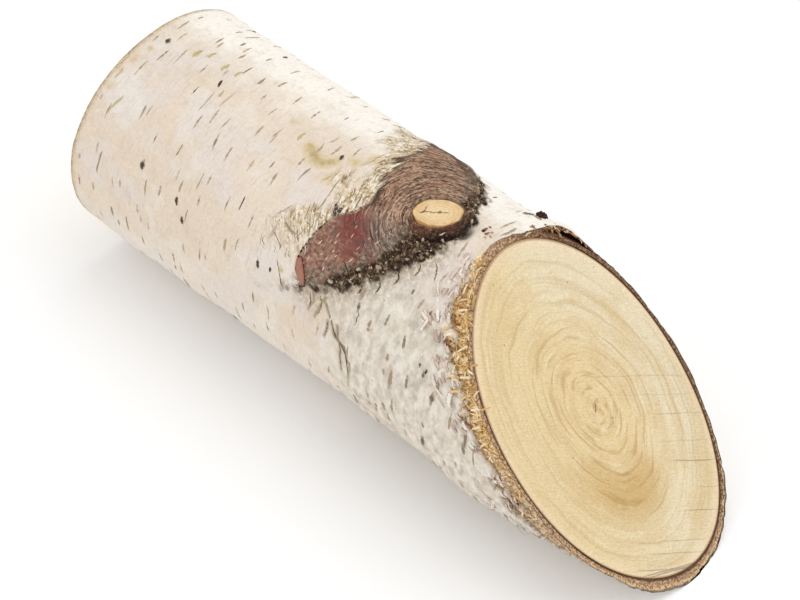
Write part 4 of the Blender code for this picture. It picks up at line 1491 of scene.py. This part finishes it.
def one_in_each_cell(draw, length, count, first, last, chance):
    """One try in each cell of a grid over the bark, kept by chance. Gives x and angle of the kept ones."""
    cell_x, cell_angle = grid_of(np.arange(first, last, length), np.arange(count) * 360 / count - 180)
    x = cell_x + length * draw.uniform(0.05, 0.95, cell_x.shape)
    angle = cell_angle + 360 / count * draw.uniform(0.05, 0.95, cell_x.shape)
    kept = draw.random(cell_x.shape) < chance
    return x[kept], angle[kept]


def on_skin(x, angle, raised):
    """The point on the bark at x and angle, raised by this much, or sunk where it is less than 0."""
    return place(x, angle, skin_radius(x, angle) + raised)


def uneven(draw, shape, amount):
    """1, more or less by a seeded amount that is never more than half as much again."""
    return 1 + amount * draw.normal(size=shape).clip(-1.5, 1.5)


def lying_paths(x, angle, half_length, tilt, bow, steps, sink=0.03 * MM):
    """Paths that lie on the skin round the log, tilted towards +X by tilt and bowed by bow."""
    run = np.linspace(-1, 1, steps)[None]
    path_angle = angle[:, None] + np.degrees(run * half_length[:, None] / RADIUS_AT_SLANT)
    path_x = x[:, None] + (tilt[:, None] * run + bow[:, None] * (1 - run**2)) * half_length[:, None]
    return on_skin(path_x, path_angle, -sink), run


draw = np.random.default_rng(404)
slit_x, slit_angle = one_in_each_cell(draw, CELL_LENGTH, CELLS_ROUND, SQUARE_END_X, 130 * MM, LENTICEL_CHANCE)
bare_there = (torn(slit_x - 2 * MM, slit_angle) > 0.1) | (flap_lift(slit_x, slit_angle) > 0.6 * MM)
inside_there = (slit_x > SQUARE_END_X + 3 * MM) & (slit_x < slant_rim_x(RADIUS_AT_SLANT, slit_angle) - 3 * MM)
kept = inside_there & ~bare_there & (patch_depth(slit_x, slit_angle) < -0.25)
kept &= ~((wrinkled(slit_x, slit_angle) > 0.5) & (draw.random(len(slit_x)) < 0.6))
slit_x, slit_angle = slit_x[kept], slit_angle[kept]
count = len(slit_x)
old = weathered(slit_x, slit_angle)
half_length = draw.lognormal(math.log(3.0), 0.30, count).clip(1.2, 5.4) * MM * (1 - 0.10 * old)
half_slit = draw.uniform(0.34, 0.60, count) * MM * (1 + 0.75 * old)
dark = draw.random(count) < 0.03 * (1 - old)
shade = np.where(dark, 0.9, draw.uniform(0.10, 0.60, count) + 0.18 * old)
tilt, bow = draw.normal(0.05, 0.09, count), draw.normal(0, 0.08, count)
paths, run = lying_paths(slit_x, slit_angle, half_length, tilt, bow, LENTICEL_STEPS)
lens = (1 - run**2).clip(0.02) ** 0.6 * uneven(draw, (count, LENTICEL_STEPS), 0.22)
strands(
    "lenticels", paths, ALONG_X, half_slit[:, None] * lens, 0.13 * MM * lens,
    lenticel_finish, shade,
)

# %% [markdown]
# ## Marks that this log has
#
# A few marks make this log this log: black spots where twigs died, cracks beside the scar, brown streaks
# above it. Each is given by where it turns, in millimetres along the log and degrees round it. A smooth
# run of points between the turns wanders a little, so that no crack is ruled with a straight edge.

# %% Black spots: x, angle, half length and half width
SPOTS = (
    (-123.5, 4.2, 1.3, 0.9), (-79.1, 63.7, 1.5, 0.75), (-75.1, 70.6, 1.3, 0.7), (-99.0, 58.8, 2.0, 0.9),
    (-92.4, 7.9, 1.6, 0.6), (-34.1, 4.6, 1.3, 0.6), (-113.5, -40.0, 1.7, 0.6), (-92.3, -33.5, 1.6, 0.6),
    (-37.2, 66.6, 1.4, 0.7), (-31.2, 65.3, 0.9, 0.5), (-20.4, 26.8, 1.6, 1.2), (-18.6, 26.4, 1.4, 1.0),
    (-19.6, 28.6, 1.4, 0.7), (-21.6, 25.4, 0.8, 0.4),
    (39.0, 61.9, 0.8, 0.5), (42.3, 62.9, 1.0, 0.5), (45.2, 63.1, 0.7, 0.45), (-52.0, 116.0, 1.6, 1.0),
    (-20.0, 150.0, 2.0, 1.2), (30.0, -120.0, 1.8, 1.1), (-64.0, -96.0, 2.1, 1.3), (-110.0, -150.0, 1.7, 1.2),
)
draw = np.random.default_rng(31)
spot_x, spot_angle, spot_long, spot_wide = np.array(SPOTS).T
tilt, bow = draw.normal(0.2, 0.2, len(SPOTS)), draw.normal(0, 0.15, len(SPOTS))
paths, run = lying_paths(spot_x * MM, spot_angle, spot_long * 1.2 * MM, tilt, bow, LENTICEL_STEPS)
lens = (1 - run**2).clip(0.04) ** 0.5 * uneven(draw, (len(SPOTS), LENTICEL_STEPS), 0.15)
strands(
    "black_spots", paths, ALONG_X, spot_wide[:, None] * 1.3 * MM * lens, 0.22 * MM * lens,
    lenticel_finish, 0.95,
)

# %% Cracks and streaks: shade, half width, then x and angle of each turn
CRACKS = (
    (0.60, 0.34, ((-4.9, 63.7), (-0.9, 68.9), (1.9, 75.0), (7.1, 77.4), (10.2, 85.0), (9.5, 98.5))),
    (0.60, 0.40, ((-2.1, 69.7), (-1.6, 74.0), (-2.3, 78.1))),
    (0.50, 0.30, ((2.1, 69.7), (5.5, 79.7), (6.5, 90.5))),
    (0.75, 0.22, ((-39.2, 47.3), (-34.0, 51.5), (-30.9, 53.4), (-30.9, 55.4))),
    (0.60, 0.28, ((-30.1, 58.8), (-26.3, 64.3), (-23.9, 71.4))),
    (0.75, 0.26, ((-38.7, 43.0), (-36.8, 39.6), (-35.2, 35.8))),
    (0.90, 0.34, ((-0.9, 50.8), (-1.6, 53.0), (-1.0, 55.8))),
    (0.85, 0.36, ((5.3, 46.5), (6.2, 49.0), (5.3, 52.0))),
    (0.85, 0.32, ((10.7, 41.0), (12.2, 44.0), (11.5, 47.5))),
    (0.90, 0.36, ((14.2, 34.0), (16.9, 36.6), (16.0, 40.2))),
    (0.75, 0.30, ((19.7, 26.0), (21.9, 29.0), (21.0, 32.5))),
    (0.60, 0.30, ((-8.5, 61.0), (-6.0, 66.0), (-7.0, 71.0))),
    (0.60, 0.26, ((-13.0, 62.0), (-11.0, 67.0), (-11.5, 72.0))),
    (0.55, 0.28, ((24.0, 22.0), (27.0, 25.0), (28.5, 30.0))),
    (0.55, 0.22, ((8.0, 56.0), (9.5, 60.0), (9.0, 65.0))),
)
RUST_STREAKS = (
    (0.40, 0.55, ((-32.5, 19.5), (-31.6, 14.0), (-31.0, 8.0))),
    (0.75, 0.26, ((-32.2, 18.0), (-31.8, 14.0), (-31.4, 10.0))),
    (0.45, 0.60, ((-26.0, 2.5), (-25.4, -3.0), (-24.7, -10.5))),
    (0.80, 0.24, ((-25.8, 1.0), (-25.6, -3.0), (-25.3, -7.5))),
    (0.35, 0.34, ((-131.6, 28.0), (-131.0, 24.0), (-130.6, 20.5))),
)
OLIVE_SLITS = (
    (0.55, 0.55, ((-110.6, 3.9), (-111.2, 0.9), (-110.6, -2.6))),
    (0.35, 0.42, ((-106.0, -0.5), (-106.4, -3.0), (-105.8, -5.2))),
    (0.60, 0.50, ((-97.2, 2.2), (-97.9, -0.9), (-97.4, -3.8))),
    (0.50, 0.40, ((-91.1, 1.2), (-91.4, -1.2), (-90.9, -3.8))),
    (0.45, 0.45, ((-52.2, 10.0), (-52.9, 7.0), (-52.2, 4.0))),
    (0.40, 0.40, ((-123.5, 49.0), (-122.5, 44.0), (-121.0, 38.0))),
)
PALE_STROKES = (
    (0.75, 0.17, ((3.2, 15.6), (1.3, 12.8), (0.9, 10.0), (1.6, 7.6))),
    (0.30, 0.30, ((16.4, 12.9), (17.6, 12.9), (18.6, 12.2), (19.5, 11.0), (20.0, 9.8))),
)


def rounded(rows, passes=8):
    """Rows of numbers with their corners rounded off: each becomes the mean of three, time and again."""
    for _ in range(passes):
        middle = (rows[:, :-2] + rows[:, 1:-1] + rows[:, 2:]) / 3
        rows = np.concatenate([rows[:, :1], middle, rows[:, -1:]], 1)
    return rows


def turning_paths(table, steps, wander, raised, draw):
    """Smooth runs of points through the turns of each crack, with a seeded wander across the run."""
    share = np.linspace(0, 1, steps)
    runs = np.array([
        [np.interp(share, np.linspace(0, 1, len(turns)), side) for side in zip(*turns)] for *_, turns in table
    ])
    x, angle = rounded(runs[:, 0]), rounded(runs[:, 1])
    drift = draw.normal(size=x.shape)
    drift = (drift + np.roll(drift, 1, 1) + np.roll(drift, -1, 1)) / 3 * wander
    x = x * MM + drift
    return on_skin(x, angle, raised), share


def lay_strokes(
    name, table, finish, wander=0.22 * MM, raised=0.0, half_thickness=0.16 * MM, steps=22, seed=61
):
    """One strand for each row of a table, thinning towards both ends."""
    draw = np.random.default_rng(seed)
    paths, share = turning_paths(table, steps, wander, raised, draw)
    thinning = (1 - (2 * share - 1) ** 4).clip(0.06) * uneven(draw, paths.shape[:2], 0.25)
    widths = np.array([row[1] for row in table])[:, None] * MM * thinning
    return strands(
        name, paths, ALONG_X, widths, half_thickness * thinning, finish, [row[0] for row in table]
    )


crack_finish = shaded_finish(
    "bark_cracks", 0.9, (170, 154, 126), (108, 94, 72), (46, 36, 28), (134, 124, 92),
    side=(176, 162, 138),
)
rust_finish = shaded_finish(
    "rust_streaks", 0.85, (202, 160, 120), (176, 118, 80), (118, 62, 44), (190, 146, 104),
    side=(216, 196, 162),
)
olive_finish = shaded_finish(
    "olive_slits", 0.85, (170, 152, 100), (118, 98, 56), (76, 60, 36), (160, 138, 90),
    side=(196, 180, 132),
)
pale_finish = shaded_finish(
    "pale_curls", 0.7, (244, 234, 222), (224, 194, 172), (186, 140, 110), (232, 208, 188)
)
lay_strokes("bark_cracks", CRACKS, crack_finish)
lay_strokes("rust_streaks", RUST_STREAKS, rust_finish, raised=0.10 * MM)
lay_strokes("olive_slits", OLIVE_SLITS, olive_finish, raised=0.06 * MM, seed=62)
lay_strokes(
    "pale_strokes", PALE_STROKES, pale_finish, wander=0.03 * MM, raised=0.55 * MM,
    half_thickness=0.3 * MM, seed=64,
)

# %% The dark line where the scar meets the white bark, and the red scale at its tip
LIP_FROM, LIP_TO, LIP_STEPS = 14.0, 62.0, 100
lip_angle = np.linspace(LIP_FROM, LIP_TO, LIP_STEPS)
lip_wander = 0.25 * MM * rough(lip_angle * 0, lip_angle, MM, 160, 29, 3)
lip_x = rounded(scar_back_edge(lip_angle)[None], 4)[0] + lip_wander
lip_path = on_skin(lip_x, lip_angle, 0.04 * MM)[None]
draw = np.random.default_rng(19)
lip_taper = 1 - np.linspace(-1, 1, LIP_STEPS) ** 6
lip_width = 0.34 * MM * lip_taper * (1 + 0.5 * draw.normal(size=LIP_STEPS).clip(-1, 1.5))
strands("scar_lip", lip_path, ALONG_X, lip_width[None].clip(0.05 * MM), 0.2 * MM, crack_finish, 1.0)

SCALE_TURNS = ((0.72, 1.8, ((-20.8, 51.6), (-20.2, 55.0), (-18.0, 58.6), (-15.0, 62.4))),)
scale_finish = shaded_finish(
    "scar_scale", 0.5, (186, 138, 118), (158, 104, 88), (126, 76, 62), (104, 58, 46), side=(66, 36, 28)
)
paths, share = turning_paths(SCALE_TURNS, 24, 0.0, 0.1 * MM, draw)
oval = np.sqrt((1 - (2 * share - 1) ** 2).clip(0.01))[None]
strands("tip_scale", paths, ALONG_X, 1.8 * MM * oval, 0.7 * MM * oval, scale_finish, 0.35, sides=18)

# %% [markdown]
# ## Crumbs and dashes in the scar
#
# Where the scar crumbles, the bark is a heap of grains. Noise can roughen a surface but can't undercut
# it, so the grains are pieces of their own: hundreds of short thick strands in black, brown and grey.
# The smooth wing of the scar has small pale dashes instead, which were the young bark's lenticels.

# %% Crumbs
CRUMB_TRIES, CRUMB_STEPS = 9000, 4
crumb_finish = shaded_finish("scar_crumbs", 0.9, (206, 190, 166), (126, 102, 78), (42, 32, 24), (100, 77, 56))


def curling_paths(x, angle, length, heading, lift, curl, steps, sink=0.15 * MM):
    """From a place on the skin, heading is degrees from round the log towards +X, in the skin's plane.

    The slope starts at lift and loses curl radians on its way, so the path is an arc of a circle that
    stands on the skin. Each step forward and up is the slope's cosine and sine, added up.
    """
    run = np.linspace(0, 1, steps)[None]
    slope = lift[:, None] - curl[:, None] * run
    step = length[:, None] / (steps - 1)
    ahead = np.cumsum(np.cos(slope) * step, 1) - step
    above = np.cumsum(np.sin(slope) * step, 1) - step
    turn = np.radians(heading)[:, None]
    flat = np.cos(turn) * onward(angle) + np.sin(turn) * ALONG_X
    start = on_skin(x, angle, -sink)
    path = start[:, None] + flat[:, None] * ahead[..., None] + outward(angle)[:, None] * above[..., None]
    return path, np.broadcast_to(np.cross(flat, outward(angle))[:, None], path.shape)


draw = np.random.default_rng(808)
crumb_x, crumb_angle = draw.uniform(-28, 32, CRUMB_TRIES) * MM, draw.uniform(-52, 68, CRUMB_TRIES)
there = draw.random(CRUMB_TRIES) < 0.8 * crumbs(crumb_x, crumb_angle) ** 2
there &= oval_distance(crumb_x, AXIS_Y - RADIUS_AT_SLANT * np.sin(np.radians(crumb_angle))) > 1.5 * MM
crumb_x, crumb_angle = crumb_x[there], crumb_angle[there]
count = len(crumb_x)
size = draw.lognormal(math.log(0.33), 0.38, count)[:, None] * MM
paths, across = curling_paths(
    crumb_x, crumb_angle, size[:, 0] * draw.uniform(1.6, 4.0, count), draw.uniform(0, 360, count),
    draw.uniform(-0.1, 0.9, count), draw.normal(0.3, 0.7, count), CRUMB_STEPS,
)
thick = np.array([[0.7, 1.0, 0.95, 0.45]])
pale = draw.random(count) < 0.36
strands(
    "scar_crumbs", paths, across, size * thick, size * thick * draw.uniform(0.35, 0.8, count)[:, None],
    crumb_finish, np.where(pale, draw.uniform(0.05, 0.5, count), draw.uniform(0.65, 1.0, count)),
)

# %% Flakes beside the branch
flake_finish = shaded_finish("bark_flakes", 0.8, (214, 178, 160), (150, 98, 84), (58, 34, 28), (104, 64, 52))
FLAKES = 16
draw = np.random.default_rng(66)
flake_x, flake_angle = draw.uniform(26.6, 31.0, FLAKES) * MM, draw.uniform(-9.0, 1.5, FLAKES)
paths, across = curling_paths(
    flake_x, flake_angle, draw.uniform(0.9, 2.6, FLAKES) * MM, draw.normal(70, 60, FLAKES),
    draw.uniform(0.1, 0.7, FLAKES), draw.normal(0.9, 0.8, FLAKES), 7,
)
widths = draw.uniform(0.35, 1.0, FLAKES)[:, None] * MM * np.array([[0.5, 0.9, 1.0, 0.95, 0.8, 0.55, 0.25]])
strands("red_flakes", paths, across, widths, 0.14 * MM, flake_finish, draw.uniform(0.1, 1.0, FLAKES))

# %% [markdown]
# ## Growth lines and folds
#
# Round a branch the bark grows in rings, and where they crack the light catches on their edges. A bump
# casts no shadow and leaves the outline smooth, so fine strands lie in arcs round the branch instead.

# %% Growth lines and folds
growth_finish = shaded_finish(
    "growth_lines", 0.7, (200, 168, 142), (124, 96, 80), (58, 42, 34), (96, 74, 62)
)
fold_finish = shaded_finish(
    "bark_folds", 0.85, (248, 242, 230), (190, 170, 140), (98, 80, 62), (150, 132, 104)
)
ARC_STEPS = 8


def arc_paths(x, angle, half_length, draw, sink=0.04 * MM):
    """Paths on the skin that follow circles round the branch through these places, and wander a little."""
    distance, start = stub_distance(x, angle)[:, None], np.radians(branch_direction(x, angle))[:, None]
    turn = start + np.linspace(-1, 1, ARC_STEPS) * half_length[:, None] / distance
    distance = distance + 0.7 * MM * rounded(draw.normal(size=turn.shape), 2)
    x = STUB_X + distance * np.cos(turn)
    angle = PATCH_ANGLE + np.degrees(distance * np.sin(turn) / RADIUS_AT_SLANT)
    across = np.cos(turn)[..., None] * ALONG_X + np.sin(turn)[..., None] * onward(angle)
    return on_skin(x, angle, -sink), across


def lay_arcs(name, where, tries, half_length, half_width, finish, shades, seed):
    """Strands along arcs, kept by the chance that where gives for each place."""
    draw = np.random.default_rng(seed)
    x, angle = draw.uniform(-44, 30, tries) * MM, draw.uniform(-56, 64, tries)
    kept = (draw.random(tries) < where(x, angle)) & (stub_distance(x, angle) > 11.5 * MM)
    x, angle = x[kept], angle[kept]
    count = len(x)
    half_lengths = draw.lognormal(math.log(half_length), 0.4, count).clip(0.6, 5.0) * MM
    paths, across = arc_paths(x, angle, half_lengths, draw)
    lens = (1 - np.linspace(-1, 1, ARC_STEPS) ** 2).clip(0.03)[None] ** 0.6
    lens = lens * draw.uniform(0.7, 1.2, (count, ARC_STEPS))
    widths = draw.uniform(0.6, 1.3, count)[:, None] * half_width * MM * lens
    strands(name, paths, across, widths, widths * 0.6, finish, draw.choice(shades, count))


def lined(x, angle):
    """The chance of a growth line: on the scar where it isn't crumbled, fewer on the smooth wing."""
    smooth_wing = smooth_step((stub_distance(x, angle) - 24 * MM) / (6 * MM)) * smooth_step((angle - 20) / 8)
    return scar(x, angle) * (1 - crumbs(x, angle)) * (1 - 0.92 * smooth_wing)


def folded(x, angle):
    """The chance of a fold's crack: in the cream bark outside the scar."""
    return wrinkled(x, angle) * (1 - scar(x, angle))


lay_arcs("growth_lines", lined, 1300, 2.4, 0.20, growth_finish, (0.0, 0.15, 0.5, 0.8, 1.0, 1.0), 505)
lay_arcs("bark_folds", folded, 1100, 1.9, 0.22, fold_finish, (0.0, 0.0, 0.5, 0.7, 0.9, 1.0), 506)

# %% Pale dashes on the wing
draw = np.random.default_rng(52)
dash_x, dash_angle = one_in_each_cell(draw, 3.6 * MM, 90, -24 * MM, 12 * MM, 0.55)
on_wing = (patch_depth(dash_x, dash_angle) > 0.12) & (dash_angle > 19) & (dash_angle < 60)
on_wing &= ashen(dash_x, dash_angle) < 0.4
dash_x, dash_angle = dash_x[on_wing], dash_angle[on_wing]
count = len(dash_x)
paths, run = lying_paths(
    dash_x, dash_angle, draw.uniform(0.5, 1.2, count) * MM, draw.normal(-0.2, 0.2, count), np.zeros(count), 7
)
strands(
    "wing_dashes", paths, ALONG_X, 0.26 * MM * (1 - run**2).clip(0.05), 0.10 * MM, pale_finish,
    draw.uniform(0.4, 0.9, count),
)

# %% [markdown]
# ## Torn fibres and papery curls
#
# Beside the slanting cut the blade pulled the skin off and left shavings standing. Each starts in the
# torn bark and runs out with a bend and a curl of its own. Wider strips of the same make are the curls
# of white paper at the edge of the tear, and the brown rags of the lifted bark.

# %% Shavings and fibres
fibre_finish = shaded_finish(
    "torn_fibre", 0.8, (249, 236, 204), (222, 182, 122), (134, 86, 46), (186, 138, 80)
)


def fringe(name, count, seed, lengths, half_widths, curls, steps, reach, shades):
    """Strips that stand in the torn bark: on top they sweep along the rim, lower down they go any way."""
    draw = np.random.default_rng(seed)
    low, high = TORN_FROM_ANGLE + 3, 126
    angle = low + (high - low) * draw.beta(1.15, 1.6, count)
    x = slant_rim_x(RADIUS_AT_SLANT, angle) - 0.5 * MM - draw.random(count) * torn_width(angle) * reach
    loose = smooth_step((angle - 24) / 24)
    heading = (1 - loose) * draw.normal(198, 16, count) + loose * draw.normal(-60, 62, count)
    length = draw.uniform(*lengths, count) * MM * (1 - 0.45 * smooth_step((angle - 84) / 22))
    lift, curl = draw.uniform(0.05, 0.9, count), draw.normal(*curls, count)
    paths, across = curling_paths(x, angle, length, heading, lift, curl, steps)
    taper = np.linspace(1, 0.4, steps)[None]
    widths = draw.uniform(*half_widths, count)[:, None] * MM * taper
    grey = smooth_step((angle - 78) / 30) * 0.15
    shade = np.clip(draw.uniform(*shades, count) + grey, 0, 1)
    strands(name, paths, across, widths, widths * 0.32, fibre_finish, shade)


fringe("torn_shavings", 380, 77, (2.0, 5.0), (0.32, 0.80), (1.6, 1.5), 9, 0.85, (0.0, 0.75))
fringe("torn_fibres", 300, 78, (1.0, 2.8), (0.12, 0.26), (0.6, 1.2), 5, 0.95, (0.1, 1.0))

# %% Curls of white paper at the edge of the tear, and scales under the scar
paper_finish = shaded_finish(
    "paper_curls", 0.75, (240, 230, 220), (212, 192, 178), (146, 116, 92), (196, 172, 152)
)
CURLS, SCALES = 240, 170
draw = np.random.default_rng(91)
curl_angle = draw.uniform(10, 124, CURLS)
curl_back = torn_width(curl_angle) * draw.uniform(0.75, 1.9, CURLS)
curl_x = slant_rim_x(RADIUS_AT_SLANT, curl_angle) - curl_back - 1 * MM
scale_x, scale_angle = draw.uniform(-8, 62, SCALES) * MM, draw.uniform(30, 96, SCALES)
clear = (weathered(scale_x, scale_angle) > 0.5) & (patch_depth(scale_x, scale_angle) < -0.12)
clear &= torn(scale_x, scale_angle) < 0.1
scale_x, scale_angle = scale_x[clear], scale_angle[clear]
lone = len(scale_x)
paper_x, paper_angle = np.concatenate([curl_x, scale_x]), np.concatenate([curl_angle, scale_angle])
count = len(paper_x)
at_tear = np.arange(count) < CURLS
length = np.where(at_tear, draw.uniform(2.0, 6.0, count), draw.uniform(1.0, 2.6, count)) * MM
lift = np.where(at_tear, draw.uniform(0.25, 0.9, count), draw.uniform(0.02, 0.25, count))
curl = np.where(at_tear, draw.uniform(0.2, 2.2, count), draw.uniform(0.0, 0.5, count))
rim_slope = np.degrees(np.arctan(-SLANT_PER_Z * np.sin(np.radians(paper_angle))))
along_rim = rim_slope + 180 * (draw.random(count) < 0.5)
heading = np.where(at_tear, along_rim + draw.normal(0, 24, count), draw.normal(60, 60, count))
paths, across = curling_paths(paper_x, paper_angle, length, heading, lift, curl, 8, sink=0.05 * MM)
widths = np.where(at_tear, draw.uniform(0.4, 1.2, count), draw.uniform(0.2, 0.7, count))[:, None] * MM
strands(
    "paper_curls", paths, across, widths * np.linspace(1, 0.5, 8)[None], 0.06 * MM, paper_finish,
    draw.random(count) * np.where(at_tear, 0.7, 0.8),
)
print(CURLS, "curls at the tear and", lone, "scales under the scar")

# %% Rags of the lifted bark
rag_finish = shaded_finish("flap_rags", 0.75, (228, 204, 162), (166, 122, 82), (84, 48, 34), (140, 98, 62))
RAGS, RAG_STEPS = 44, 7
draw = np.random.default_rng(23)
rag_angle = draw.uniform(-56, -20, RAGS)
rag_x = slant_rim_x(RADIUS_AT_SLANT, rag_angle) - draw.uniform(0.2, 5, RAGS) * MM
paths, across = curling_paths(
    rag_x, rag_angle, draw.uniform(1.4, 3.6, RAGS) * MM, draw.normal(60, 50, RAGS),
    draw.uniform(0.02, 0.4, RAGS), draw.uniform(0.1, 1.2, RAGS), RAG_STEPS,
)
widths = draw.uniform(0.3, 0.9, RAGS)[:, None] * MM * np.linspace(1, 0.5, RAG_STEPS)[None]
strands("bark_rags", paths, across, widths, 0.10 * MM, rag_finish, draw.uniform(0.0, 0.8, RAGS))

# %% [markdown]
# ## The dead bud
#
# A bud died on the loose bark beside the cut. It is an egg with ridges: a ball whose radius grows and
# shrinks with a few waves. A short stem holds it, and runs down to the dark gap.

# %% Bud and stem
bud_finish = Finish("dead_bud", roughness=0.7)
BUD_ROWS, BUD_COLUMNS, BUD_WIDE, BUD_NARROW = 26, 36, 1.15, 0.85


def dress_bud(f):
    """Nearly black red-brown, lighter on its ridges."""
    husk = f.ramp(f.noise(0.8, 3.0, 3), (0.40, (40, 22, 17)), (0.55, (78, 46, 34)), (0.70, (128, 88, 66)))
    f.feed("Base Color", husk)
    f.bump(f.noise(0.6, 1.0, 3) * 0.3)


def bud_surface():
    """A ball of BUD_SIZE, its radius changed by waves round it, over the trunk by BUD_HEIGHT."""
    latitude, turn = grid_of(np.linspace(0.06, math.pi - 0.06, BUD_ROWS), round_turns(BUD_COLUMNS))
    ridged = 1 + 0.10 * np.sin(5 * turn + 3 * latitude)
    size = BUD_SIZE / 2 * (ridged + 0.08 * np.sin(9 * turn - 7 * latitude))
    middle = place(BUD_X, BUD_ANGLE, trunk_radius(BUD_X, BUD_ANGLE) + BUD_HEIGHT)
    x = middle[0] + BUD_WIDE * size * np.sin(latitude) * np.cos(turn)
    y = middle[1] + BUD_NARROW * size * np.sin(latitude) * np.sin(turn)
    return np.stack([x, y, middle[2] + size * np.cos(latitude)], -1)


dress_bud(bud_finish)
grid_object("bud", bud_surface(), bud_finish)
STEM = (
    (0.95, 0.75, ((30.0, -34.0), (32.0, -33.0), (34.2, -31.5))),
    (0.90, 0.55, ((29.5, -34.5), (28.2, -32.0), (27.2, -29.5))),
)
lay_strokes(
    "bud_stem", STEM, crack_finish, wander=0.08 * MM, raised=0.2 * MM, half_thickness=0.3 * MM, steps=14
)
